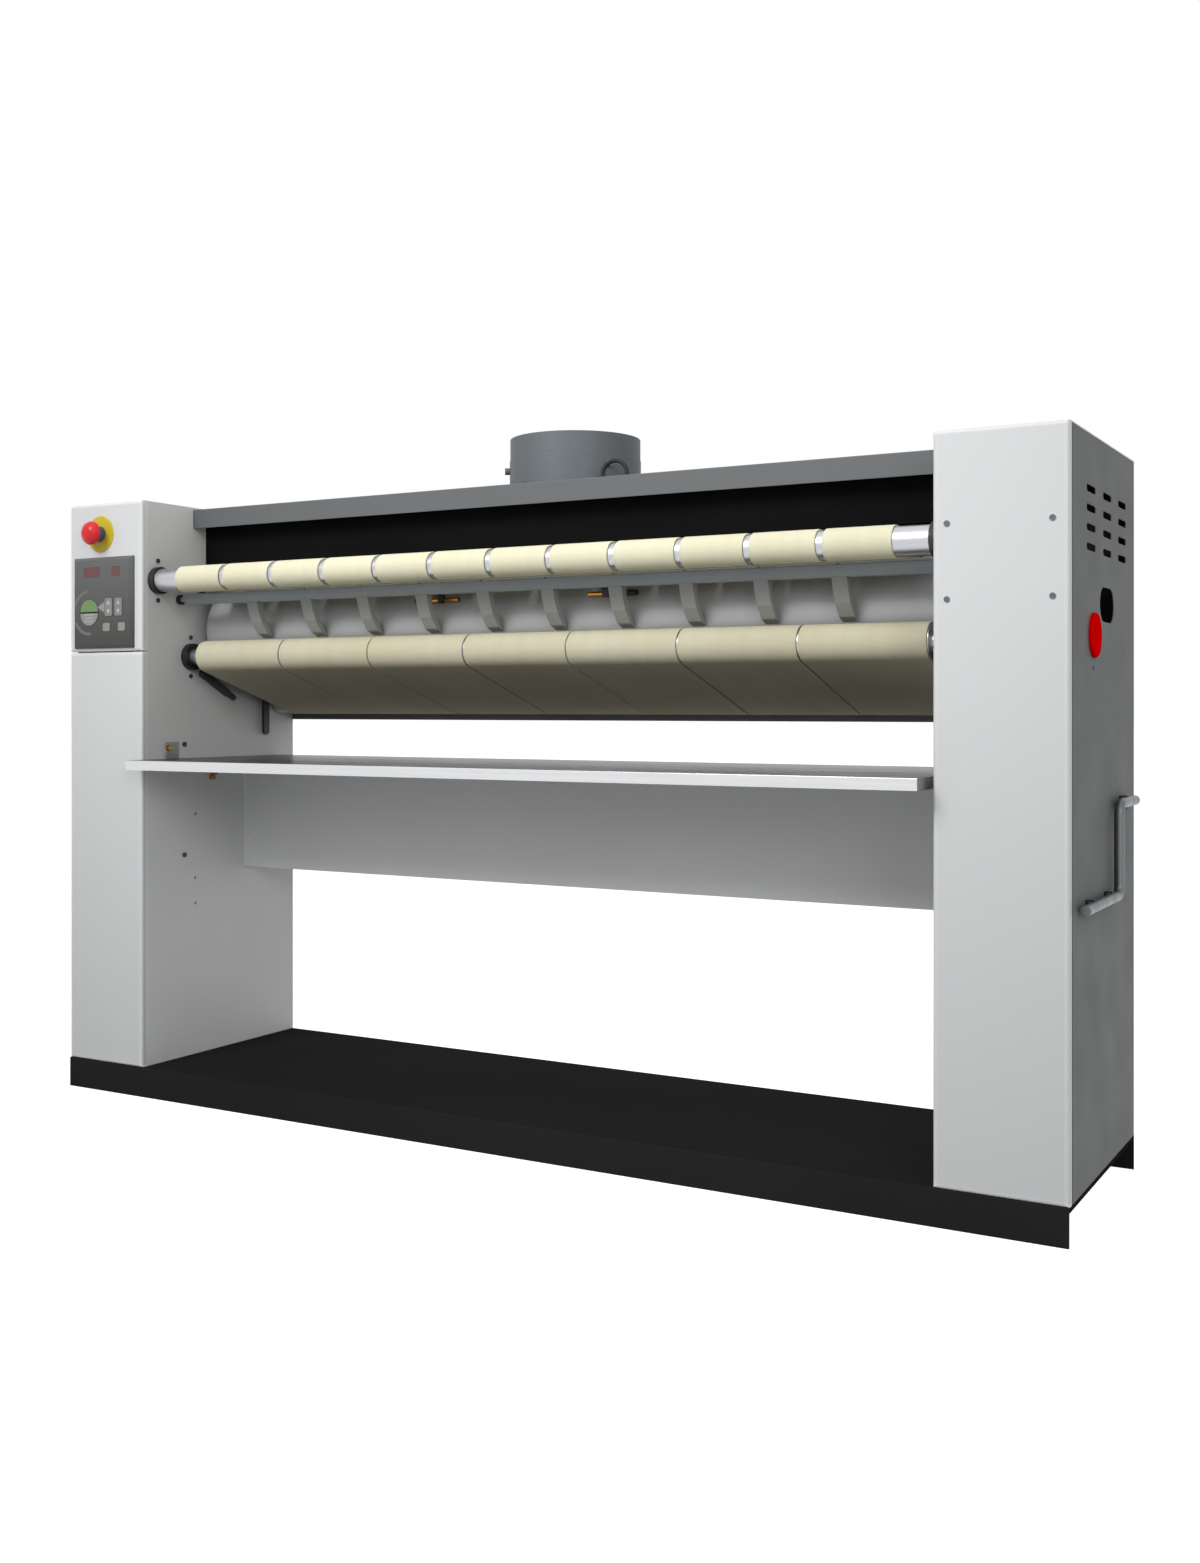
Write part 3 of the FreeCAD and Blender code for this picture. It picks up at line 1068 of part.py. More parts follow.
control_bezel = prism("control_bezel", "XZ", "bezel_front", box_outline(
    "-panel_left", "panel_low", "-panel_right", "panel_high"), "bezel_proud")
bezel_edge = number("bezel_front")
soften(control_bezel, lambda e: e.BoundBox.YMax < bezel_edge + 1e-4, "bezel_chamfer",
       "Chamfer")
rooms = new_sketch(control_bezel, "XZ", "bezel_front - 1")
for x, z, wide, tall in KEYS.values():
    outline(rooms, box_outline(*key_box(x, z, wide, tall, "key_gap")))
circle(rooms, "-round_key_x", "round_key_z", "round_key_radius + key_gap")
cut(control_bezel, rooms, "1 + key_thick - key_proud + key_room")
panes = new_sketch(control_bezel, "XZ", "bezel_front - 1")
for x, z, wide, tall in WINDOWS:
    outline(panes, box_outline(*key_box(x, z, wide, tall)))
cut(control_bezel, panes, "1 + display_thick")

keys = {}
for name, (x, z, wide, tall) in KEYS.items():
    key = prism(name, "XZ", "bezel_front - key_proud",
                box_outline(*key_box(x, z, wide, tall)), "key_thick")
    soften(key, lambda e: e.BoundBox.YLength > 1, "key_corner")
    keys[name] = key
for name, sign in (("start_key", 1), ("stop_key", -1)):
    key = new_body(name)
    face = new_sketch(key, "XZ", "bezel_front - key_proud")
    half_disc(face, "round_key_x", "round_key_z", "round_key_radius - round_key_split / 2",
              sign, "0")
    pad(key, face, "key_thick")
    keys[name] = key
control_display = group("control_display", [
    block(key_box(x, z, wide, tall)[0], "bezel_front", key_box(x, z, wide, tall)[1],
          wide, "display_thick", tall) for x, z, wide, tall in WINDOWS])

# ---------------------------------------------------------------- emergency stop
stop = {"x": "-stop_x", "z": "stop_z", "y": "front"}
hole = "stop_body_radius + stop_hole_fit"
stop_plate = spin("stop_plate", "y", [
    ("-stop_plate_thick", hole),
    ("-stop_plate_thick", "stop_plate_radius - stop_plate_edge"),
    ("-stop_plate_thick + stop_plate_edge", "stop_plate_radius"), ("0", "stop_plate_radius"),
    ("0", hole)], **stop)
stem_bore = "stop_stem_radius + running_fit"
neck_front = "-stop_plate_thick - stop_neck_long"
stop_neck = spin("stop_neck", "y", [
    (neck_front, stem_bore), (neck_front, "stop_neck_radius - stop_neck_edge"),
    (neck_front + " + stop_neck_edge", "stop_neck_radius"),
    ("-stop_plate_thick", "stop_neck_radius"),
    ("-stop_plate_thick", "stop_body_radius"), ("cover_sheet", "stop_body_radius"),
    ("cover_sheet", "stop_nut_radius"), ("cover_sheet + stop_nut_long", "stop_nut_radius"),
    ("cover_sheet + stop_nut_long", stem_bore)], **stop)
stop_stem = spin("stop_stem", "y", shaft([
    ("-stop_head_back - stop_stem_tip", "stop_stem_rear", "stop_stem_radius")]), **stop)
head_bore_end = "-stop_head_back - stop_stem_tip - stop_tip_gap"
stop_head = spin("stop_head", "y", [
    ("-stop_head_back", stem_bore), ("-stop_head_back", "stop_head_radius - stop_head_edge"),
    ("-stop_head_back - stop_head_edge", "stop_head_radius"),
    ("-stop_head_back - stop_head_rim", "stop_head_radius"),
    ("-stop_head_front + stop_dome * 0.62", "stop_head_radius * 0.89"),
    ("-stop_head_front + stop_dome * 0.31", "stop_head_radius * 0.7"),
    ("-stop_head_front + stop_dome * 0.09", "stop_head_radius * 0.45"),
    ("-stop_head_front", "0"), (head_bore_end, "0"), (head_bore_end, stem_bore)], **stop)

# ---------------------------------------------------------------- hand crank and plug
arm_y, crank_x = at("crank_arm_y"), "crank_x"
low_run = disc("y", "crank_radius", "crank_arm_y - crank_bend - crank_tip_y", crank_x,
               at("crank_tip_y"), "crank_low")
upright = disc("z", "crank_radius", "crank_high - crank_low - 2 * crank_bend", crank_x,
               arm_y, "crank_low + crank_bend")
grip = disc("y", "crank_radius", "crank_grip_run - crank_bend", crank_x,
            at("crank_arm_y + crank_bend"), "crank_high")
elbows = []
for y, z, axis_z in ((arm_y + " - crank_bend", "crank_low + crank_bend", V(0, 1, 0)),
                     (arm_y + " + crank_bend", "crank_high - crank_bend", V(0, -1, 0))):
    elbow = doc.addObject("Part::Torus", fresh("Elbow"))
    elbow.setExpression("Radius1", bound("crank_bend"))
    elbow.setExpression("Radius2", bound("crank_radius"))
    elbow.Angle3 = 90
    # a quarter ring in the plane of the side panel
    elbow.Placement = FreeCAD.Placement(V(), FreeCAD.Rotation(
        axis_z, V(0, 0, -1) if axis_z.y > 0 else V(0, 0, 1), V(), "XYZ"))
    for way, text in (("x", crank_x), ("y", y), ("z", z)):
        elbow.setExpression("Placement.Base." + way, bound(text))
    elbows.append(elbow)
hand_crank = joined("hand_crank", [low_run, upright, grip] + elbows)

clip_parts = []
for y, z in (("clip_first_y", "crank_low"), ("clip_second_y", "crank_low"),
             ("clip_grip_y", "crank_high")):
    half = "(crank_radius + clip_fit + clip_side)"
    jaw = "(crank_radius + clip_fit)"
    clip_parts.append(prism(fresh("CrankClip"), "XZ", at(y) + " - clip_long / 2", [
        ("side", z + " - " + half), ("side + crank_off + clip_proud", z + " - " + half),
        ("side + crank_off + clip_proud", z + " - " + jaw),
        ("side + clip_base", z + " - " + jaw), ("side + clip_base", z + " + " + jaw),
        ("side + crank_off + clip_proud", z + " + " + jaw),
        ("side + crank_off + clip_proud", z + " + " + half), ("side", z + " + " + half)],
        "clip_long"))
crank_clips = group("crank_clips", clip_parts)

side_plug = spin("side_plug", "x", shaft([
    ("-plug_depth", "0", "plug_stem"), ("0", "plug_thick - plug_edge", "plug_radius"),
    ("plug_thick - plug_edge", "plug_thick", "plug_radius - plug_edge")]), x="side + plug_fit",
    y=at("plug_y"), z="plug_z")

# ---------------------------------------------------------------- pieces to write
NODES = [
    base_pan, frame_left, frame_right, front_cover_left, control_fascia,
    front_cover_right, side_panel_left, side_panel_right, column_caps,
    column_rear_covers, hood_cover, hood_apron, rear_cover, exhaust_collar, fan_mount,
    fan_rotor, fan_cable, drum_shell, drum_hubs, drum_pulley, motor_pulley, gearmotor,
    heating_elements, feed_roller, transfer_roller, exit_roller, lower_roller,
    upper_roller, nip_roller, flange_bearings, inner_bearings, feed_belts, press_belts,
    drive_belt, finger_bar, stripper_fingers, thermostat_bulbs, thermostat_clips,
    belt_take_ups, tension_lever, shelf_tray, shelf_pins, cross_panel, screws,
    wall_screws, control_bezel, control_display, stop_plate, stop_neck,
    stop_stem, stop_head, hand_crank, crank_clips, side_plug,
] + list(keys.values())

doc.recompute()
doc.removeObject(figure.Name)
bad = [o.Name for o in doc.Objects if {"Invalid", "Error"} & set(o.State)]
for node in NODES:
    if node.Shape.isNull() or not node.Shape.isValid() or not node.Shape.Solids:
        bad.append(node.Label)
if bad:
    raise RuntimeError("unsound pieces: " + ", ".join(sorted(set(bad))))

os.makedirs("parts", exist_ok=True)
for node in NODES:
    node.Shape.exportStep("parts/%s.step" % node.Label)
print(len(NODES), "pieces,", sum(len(node.Shape.Solids) for node in NODES), "solids")
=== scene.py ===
# Flatwork ironer: paint, metal and cloth finishes, the woven belts, panel trim, light and camera.
import bpy
import json
import math
import numpy as np
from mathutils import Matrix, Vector

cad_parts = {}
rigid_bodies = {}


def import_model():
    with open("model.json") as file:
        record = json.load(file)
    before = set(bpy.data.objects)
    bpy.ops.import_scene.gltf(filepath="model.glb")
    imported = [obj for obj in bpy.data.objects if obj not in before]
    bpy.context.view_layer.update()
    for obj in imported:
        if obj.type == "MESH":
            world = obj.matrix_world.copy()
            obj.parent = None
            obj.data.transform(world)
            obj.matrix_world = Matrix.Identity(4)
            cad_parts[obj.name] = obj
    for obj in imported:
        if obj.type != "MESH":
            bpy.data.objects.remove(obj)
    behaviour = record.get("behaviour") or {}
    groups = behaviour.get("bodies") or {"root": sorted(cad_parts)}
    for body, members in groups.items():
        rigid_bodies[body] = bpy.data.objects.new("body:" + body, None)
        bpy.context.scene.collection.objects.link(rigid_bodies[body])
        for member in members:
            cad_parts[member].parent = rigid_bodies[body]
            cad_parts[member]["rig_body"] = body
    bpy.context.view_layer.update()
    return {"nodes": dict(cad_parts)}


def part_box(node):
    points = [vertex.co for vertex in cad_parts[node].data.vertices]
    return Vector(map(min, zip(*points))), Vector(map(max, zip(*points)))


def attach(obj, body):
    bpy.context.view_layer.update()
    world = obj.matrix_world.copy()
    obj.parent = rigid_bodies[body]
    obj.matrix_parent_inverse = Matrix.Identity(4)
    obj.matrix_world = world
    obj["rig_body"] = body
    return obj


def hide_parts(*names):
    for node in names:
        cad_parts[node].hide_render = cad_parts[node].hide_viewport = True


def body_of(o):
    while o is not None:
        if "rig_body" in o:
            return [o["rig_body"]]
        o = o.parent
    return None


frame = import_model()
nodes = frame["nodes"]
print("frame loaded:", len(nodes), "nodes")

# camera: place in metres, turn and focal length fitted to the photograph's 1200 x 1563 pixels
camera = {"place": (1.5477, -2.5135, 0.7712), "turn": 29.54, "focalPixels": 1601.7,
          "horizonPixel": 707.4, "imageHigh": 1563, "sensor": 36.0, "clip": (0.05, 200)}


def placeCamera(view):
    lens = bpy.data.cameras.new("camera")
    lens.sensor_width = view["sensor"]
    lens.lens = view["focalPixels"] * view["sensor"] / view["imageHigh"]
    lens.shift_y = (view["horizonPixel"] - view["imageHigh"] / 2) / view["imageHigh"]
    lens.clip_start, lens.clip_end = view["clip"]
    eye = bpy.data.objects.new("camera", lens)
    eye.location = view["place"]
    eye.rotation_euler = (math.pi / 2, 0, math.radians(view["turn"]))
    bpy.context.scene.collection.objects.link(eye)
    bpy.context.scene.camera = eye


placeCamera(camera)
print("camera placed")


def tone(red, green, blue):
    # 0-255 display values, by the sRGB curve, to the linear values that a shader takes
    share = np.array([red, green, blue]) / 255
    linear = np.where(share <= 0.04045, share / 12.92, ((share + 0.055) / 1.055) ** 2.4)
    return (*linear.tolist(), 1.0)


def put(tree, kind, inputs=None, **settings):
    # a node with its own settings; an input is a value, or the output that feeds it
    node = tree.nodes.new("ShaderNode" + kind)
    for key, value in settings.items():
        setattr(node, key, value)
    for key, value in (inputs or {}).items():
        if isinstance(value, bpy.types.NodeSocket):
            tree.links.new(value, node.inputs[key])
        else:
            node.inputs[key].default_value = value
    return node


# what all finishes share: the bevel's samples, the shares of facing at which an edge's tone
# starts and is full, the noise span that a mask spreads, and the coat's roughness
shared = {"bevelSamples": 4, "edgeStart": 0.985, "edgeFull": 0.72, "noiseSpan": (0.3, 0.7),
          "coatRough": 0.15}


def startFinish(name, look):
    material = bpy.data.materials.new(name)
    material.use_nodes = True
    tree = material.node_tree
    shader = tree.nodes["Principled BSDF"]
    shader.inputs["Metallic"].default_value = look.get("metal", 0.0)
    shader.inputs["Specular IOR Level"].default_value = look.get("shine", 0.5)
    shader.inputs["Coat Weight"].default_value = look.get("coat", 0.0)
    shader.inputs["Coat Roughness"].default_value = shared["coatRough"]
    place = put(tree, "TexCoord").outputs["Object"]
    return material, tree, shader, place


def noise(tree, place, scale, detail=2.0, stretch=(1, 1, 1)):
    spot = put(tree, "Mapping", {"Vector": place, "Scale": stretch}).outputs[0]
    return put(tree, "TexNoise", {"Vector": spot, "Scale": scale, "Detail": detail}).outputs["Fac"]


def spread(tree, value, low, high, span=shared["noiseSpan"]):
    # maps the span of a value to low and high, and holds both beyond it
    return put(tree, "MapRange", {"Value": value, "From Min": span[0], "From Max": span[1],
                                  "To Min": low, "To Max": high}).outputs[0]


def blendTones(tree, share, first, second):
    # inputs 6 and 7 are the Mix node's two colours
    return put(tree, "Mix", {0: share, 6: first, 7: second}, data_type="RGBA").outputs[2]


def scaled(colour, factor):
    return (*[min(1.0, c * factor) for c in colour[:3]], 1.0)


def clouded(tree, place, base, vary, scale):
    # a slow drift of tone, by vary both ways
    cloud = spread(tree, noise(tree, place, scale, detail=4), 0, 1)
    return blendTones(tree, cloud, scaled(base, 1 - vary), scaled(base, 1 + vary))


def bevelled(tree, radius):
    return put(tree, "Bevel", {"Radius": radius}, samples=shared["bevelSamples"]).outputs[0]


def edgeWearAndHighlight(tree, colour, look):
    # rounds edges by the bevel normal, and shows the edge tone where a bevel leaves the face: worn
    # edges on most finishes, a painted highlight on the light paint's folds and the side paint's
    # slot rims, and painted shade on the bezel's edges; a rim is the painted highlight's own,
    # wider reach
    soft = bevelled(tree, look["edge"])
    reach = bevelled(tree, look["rim"]) if "rim" in look else soft
    face = put(tree, "NewGeometry").outputs["Normal"]
    same = put(tree, "VectorMath", {0: reach, 1: face}, operation="DOT_PRODUCT").outputs["Value"]
    span = (look.get("edgeFull", shared["edgeFull"]), shared["edgeStart"])
    edge = spread(tree, same, look["wearAndHighlight"], 0.0, span)
    return soft, blendTones(tree, edge, colour, tone(*look["edgeTone"]))


def shadedDown(tree, place, colour, shadeDown):
    # painted shade: a darker tone further down, by height
    high = put(tree, "SeparateXYZ", {0: place}).outputs[2]
    down = spread(tree, high, 0, 1, (shadeDown["from"], shadeDown["to"]))
    return blendTones(tree, down, colour, tone(*shadeDown["tone"]))


def connect(tree, shader, colour, rough, height, soft, strength, distance):
    tree.links.new(colour, shader.inputs["Base Color"])
    tree.links.new(rough, shader.inputs["Roughness"])
    bump = put(tree, "Bump", {"Strength": strength, "Distance": distance, "Height": height})
    if soft is not None:
        tree.links.new(soft, bump.inputs["Normal"])
    tree.links.new(bump.outputs[0], shader.inputs["Normal"])


# what one kind of finish shares: scales per metre, bump heights in metres, and how far the
# roughness goes to each side of the look's own
painted = {"cloudScale": 2.6, "fleckScale": 1400, "fleckSpan": (0.52, 0.72), "fleckShade": 0.8,
           "roughScale": 9, "smoother": 0.05, "rougher": 0.06, "bump": 0.0004}


def powderPaint(name, look):
    # baked paint: fine orange peel, a faint cloud of tone, dark flecks, and lighter edges that are
    # worn on some paints and a painted highlight on others, with painted shade, a darker tone
    # lower down, where the look has a fade
    material, tree, shader, place = startFinish(name, look)
    base = tone(*look["tone"])
    colour = clouded(tree, place, base, look["vary"], painted["cloudScale"])
    fleck = noise(tree, place, painted["fleckScale"], detail=1)
    fleck = spread(tree, fleck, 0, look.get("fleck", 0.0), painted["fleckSpan"])
    colour = blendTones(tree, fleck, colour, scaled(base, painted["fleckShade"]))
    if "shadeDown" in look:
        colour = shadedDown(tree, place, colour, look["shadeDown"])
    soft, colour = edgeWearAndHighlight(tree, colour, look)
    peel = noise(tree, place, look["peel"])
    patch = noise(tree, place, painted["roughScale"], detail=5)
    rough = spread(tree, patch, look["rough"] - painted["smoother"],
                   look["rough"] + painted["rougher"])
    connect(tree, shader, colour, rough, peel, soft, look["peelDepth"], painted["bump"])
    return material


turned = {"cloudScale": 7, "facingSpan": (0.7, 0.9), "smoother": 0.07, "rougher": 0.09,
          "bump": 0.0003}


def turnedMetal(name, look):
    # metal worked in one direction: fine lines that are stretched across it, and stained patches
    material, tree, shader, place = startFinish(name, look)
    base = tone(*look["tone"])
    lines = noise(tree, place, look["lines"], detail=3, stretch=look["stretch"])
    cloud = spread(tree, noise(tree, place, turned["cloudScale"], detail=4), 0, 1)
    colour = blendTones(tree, spread(tree, lines, 0, 1), scaled(base, 1 - look["vary"]), base)
    colour = blendTones(tree, cloud, colour, scaled(base, 1 - look["vary"] / 2))
    soft, colour = edgeWearAndHighlight(tree, colour, look)
    if "topShadeTone" in look:
        # painted shade: a dark tone on what faces up, where the tray's top shows a dark
        # reflection, and a grey painted shade on the cheeks at both ends
        facing = put(tree, "SeparateXYZ", {0: put(tree, "NewGeometry").outputs["Normal"]})
        sideways = put(tree, "Math", {0: facing.outputs[0]}, operation="ABSOLUTE").outputs[0]
        shadedCheek = spread(tree, sideways, 0, 1, turned["facingSpan"])
        colour = blendTones(tree, shadedCheek, colour, tone(*look["cheekShadeTone"]))
        shadedTop = spread(tree, facing.outputs[2], 0, 1, turned["facingSpan"])
        colour = blendTones(tree, shadedTop, colour, tone(*look["topShadeTone"]))
        bare = put(tree, "MapRange", {"Value": shadedTop, "To Min": look["metal"], "To Max": 0.0})
        tree.links.new(bare.outputs[0], shader.inputs["Metallic"])
    rough = spread(tree, lines, look["rough"] - turned["smoother"],
                   look["rough"] + turned["rougher"])
    connect(tree, shader, colour, rough, lines, soft, look["lineDepth"], turned["bump"])
    return material


pebbled = {"cloudScale": 12, "finer": 4, "roughVary": 0.06, "bump": 0.0005}


def castGrain(name, look):
    # moulded plastic, rubber or a sand casting: pebbled grain in two sizes, rubbed edges that are
    # painted shade on the bezel, and painted shade lower down where the look has a fade
    material, tree, shader, place = startFinish(name, look)
    base = tone(*look["tone"])
    coarse = noise(tree, place, look["grain"], detail=3)
    fine = noise(tree, place, look["grain"] * pebbled["finer"])
    grain = put(tree, "Math", {0: coarse, 1: fine}, operation="ADD").outputs[0]
    colour = clouded(tree, place, base, look["vary"], pebbled["cloudScale"])
    if "shadeDown" in look:
        colour = shadedDown(tree, place, colour, look["shadeDown"])
    soft, colour = edgeWearAndHighlight(tree, colour, look)
    rough = spread(tree, coarse, look["rough"] - pebbled["roughVary"],
                   look["rough"] + pebbled["roughVary"])
    connect(tree, shader, colour, rough, grain, soft, look["grainDepth"], pebbled["bump"])
    return material


woven = {"fuzzScale": 2600, "streakScale": 34, "streakStretch": (0.12, 1, 1),
         "streakSpan": (0.35, 0.68), "blotchScale": 4.5, "blotchSpan": (0.4, 0.66),
         "pitSpan": (-1, 0.2), "pitShade": 0.7, "roughVary": 0.05, "bump": 0.0004}


def wovenCloth(name, look):
    # yarns of a plain weave on the belt's own map, whose units are metres along and across
    material, tree, shader, place = startFinish(name, look)
    mapped = put(tree, "UVMap", uv_map="cloth").outputs[0]
    parts = put(tree, "SeparateXYZ", {0: mapped})
    turns = 2 * math.pi / look["yarn"]
    warp = put(tree, "Math", {0: parts.outputs[0], 1: turns}, operation="MULTIPLY").outputs[0]
    weft = put(tree, "Math", {0: parts.outputs[1], 1: turns}, operation="MULTIPLY").outputs[0]
    sines = [put(tree, "Math", {0: way}, operation="SINE").outputs[0] for way in (warp, weft)]
    weave = put(tree, "Math", {0: sines[0], 1: sines[1]}, operation="MULTIPLY").outputs[0]
    fuzz = noise(tree, mapped, woven["fuzzScale"], detail=3)
    height = put(tree, "Math", {0: weave, 1: fuzz}, operation="ADD").outputs[0]
    base, aged = tone(*look["tone"]), tone(*look["aged"])
    streak = noise(tree, mapped, woven["streakScale"], detail=4, stretch=woven["streakStretch"])
    streak = spread(tree, streak, 0, 1, woven["streakSpan"])
    blotch = noise(tree, place, woven["blotchScale"], detail=5)
    blotch = spread(tree, blotch, 0, look["blotch"], woven["blotchSpan"])
    colour = blendTones(tree, streak, base, scaled(base, 1 - look["vary"]))
    colour = blendTones(tree, blotch, colour, aged)
    # painted shade in the weave's hollows: darker where the weave dips
    weaveHollowShade = spread(tree, weave, look["pitDepth"], 0, woven["pitSpan"])
    colour = blendTones(tree, weaveHollowShade, colour, scaled(base, woven["pitShade"]))
    rough = spread(tree, fuzz, look["rough"] - woven["roughVary"],
                   look["rough"] + woven["roughVary"])
    connect(tree, shader, colour, rough, height, None, look["weaveDepth"], woven["bump"])
    return material


# finishes: a tone is the display colour of the clean surface, edge and the highlight rim are
# metres, yarn is one thread's width, a fade's tone and the tray's top and cheek tones are painted
# shade, and the other sizes are noise scales or shares
paint = {
    # lightPaint: the white edge tone with its wide rim is a painted highlight on the folds, and
    # the fade is painted shade lower down
    "lightPaint": {"tone": (226, 228, 229), "edgeTone": (255, 255, 255), "vary": 0.012,
                   "edge": 0.0015, "rim": 0.008, "wearAndHighlight": 1.0, "edgeFull": 0.92, "peel": 620,
                   "peelDepth": 0.12, "rough": 0.42,
                   "shadeDown": {"from": 0.95, "to": 0.1, "tone": (202, 204, 205)}},
    "wallPaint": {"tone": (222, 223, 223), "edgeTone": (242, 242, 242), "vary": 0.02,
                  "edge": 0.002, "wearAndHighlight": 0.4, "peel": 620, "peelDepth": 0.12, "rough": 0.46},
    # sidePaint: the lighter edge tone is a painted highlight on the slot rims and folds
    "sidePaint": {"tone": (108, 110, 111), "edgeTone": (158, 160, 161), "vary": 0.02,
                  "edge": 0.002, "wearAndHighlight": 0.8, "peel": 620, "peelDepth": 0.14, "rough": 0.6,
                  "shine": 0.2},
    "crossPaint": {"tone": (224, 225, 226), "edgeTone": (240, 241, 242), "vary": 0.02,
                   "edge": 0.0015, "wearAndHighlight": 0.4, "peel": 620, "peelDepth": 0.12, "rough": 0.5},
    "hoodPaint": {"tone": (95, 98, 101), "edgeTone": (160, 163, 166), "vary": 0.025,
                  "edge": 0.0015, "wearAndHighlight": 0.4, "peel": 620, "peelDepth": 0.12, "rough": 0.48},
    "plinthPaint": {"tone": (42, 42, 43), "edgeTone": (58, 58, 60), "vary": 0.08,
                    "edge": 0.0018, "wearAndHighlight": 0.5, "peel": 420, "peelDepth": 0.3, "rough": 0.8,
                    "fleck": 0.3, "shine": 0.0},
    "apronPaint": {"tone": (15, 15, 16), "edgeTone": (38, 38, 40), "vary": 0.06,
                   "edge": 0.001, "wearAndHighlight": 0.4, "peel": 420, "peelDepth": 0.2, "rough": 0.75,
                   "shine": 0.05},
    "barPaint": {"tone": (168, 176, 184), "edgeTone": (168, 174, 180), "vary": 0.04,
                 "edge": 0.0016, "wearAndHighlight": 0.5, "peel": 700, "peelDepth": 0.12, "rough": 0.42},
}
metal = {
    "rollerSteel": {"tone": (192, 193, 198), "edgeTone": (222, 222, 226), "vary": 0.1,
                    "edge": 0.001, "wearAndHighlight": 0.4, "lines": 60, "stretch": (30, 1, 1),
                    "lineDepth": 0.25, "rough": 0.36, "metal": 1.0},
    "drumSteel": {"tone": (192, 193, 196), "edgeTone": (190, 190, 192), "vary": 0.1,
                  "edge": 0.001, "wearAndHighlight": 0.4, "lines": 50, "stretch": (30, 1, 1),
                  "lineDepth": 0.2, "rough": 0.5, "metal": 0.35},
    # traySteel: the dark top tone and the grey cheek tone are painted shade on the tray's top and
    # its cheeks
    "traySteel": {"tone": (214, 215, 217), "edgeTone": (250, 250, 252), "vary": 0.05,
                  "edge": 0.001, "wearAndHighlight": 0.3, "lines": 80, "stretch": (0.05, 4, 4),
                  "lineDepth": 0.12, "rough": 0.3, "metal": 0.85, "topShadeTone": (44, 45, 48),
                  "cheekShadeTone": (128, 129, 131)},
    "zincSteel": {"tone": (106, 111, 115), "edgeTone": (160, 164, 168), "vary": 0.08,
                  "edge": 0.0008, "wearAndHighlight": 0.5, "lines": 45, "stretch": (1, 1, 6),
                  "lineDepth": 0.1, "rough": 0.55, "metal": 0.25, "shine": 0.25},
    "crankSteel": {"tone": (112, 115, 118), "edgeTone": (150, 152, 154), "vary": 0.08,
                   "edge": 0.0008, "wearAndHighlight": 0.3, "lines": 60, "stretch": (1, 1, 0.3),
                   "lineDepth": 0.1, "rough": 0.4, "metal": 0.8},
    "boltSteel": {"tone": (104, 106, 110), "edgeTone": (150, 152, 156), "vary": 0.15,
                  "edge": 0.0004, "wearAndHighlight": 0.6, "lines": 300, "stretch": (1, 1, 1),
                  "lineDepth": 0.2, "rough": 0.34, "metal": 1.0},
    "brass": {"tone": (196, 140, 62), "edgeTone": (232, 190, 110), "vary": 0.2,
              "edge": 0.0005, "wearAndHighlight": 0.6, "lines": 400, "stretch": (3, 1, 1),
              "lineDepth": 0.2, "rough": 0.32, "metal": 1.0},
}
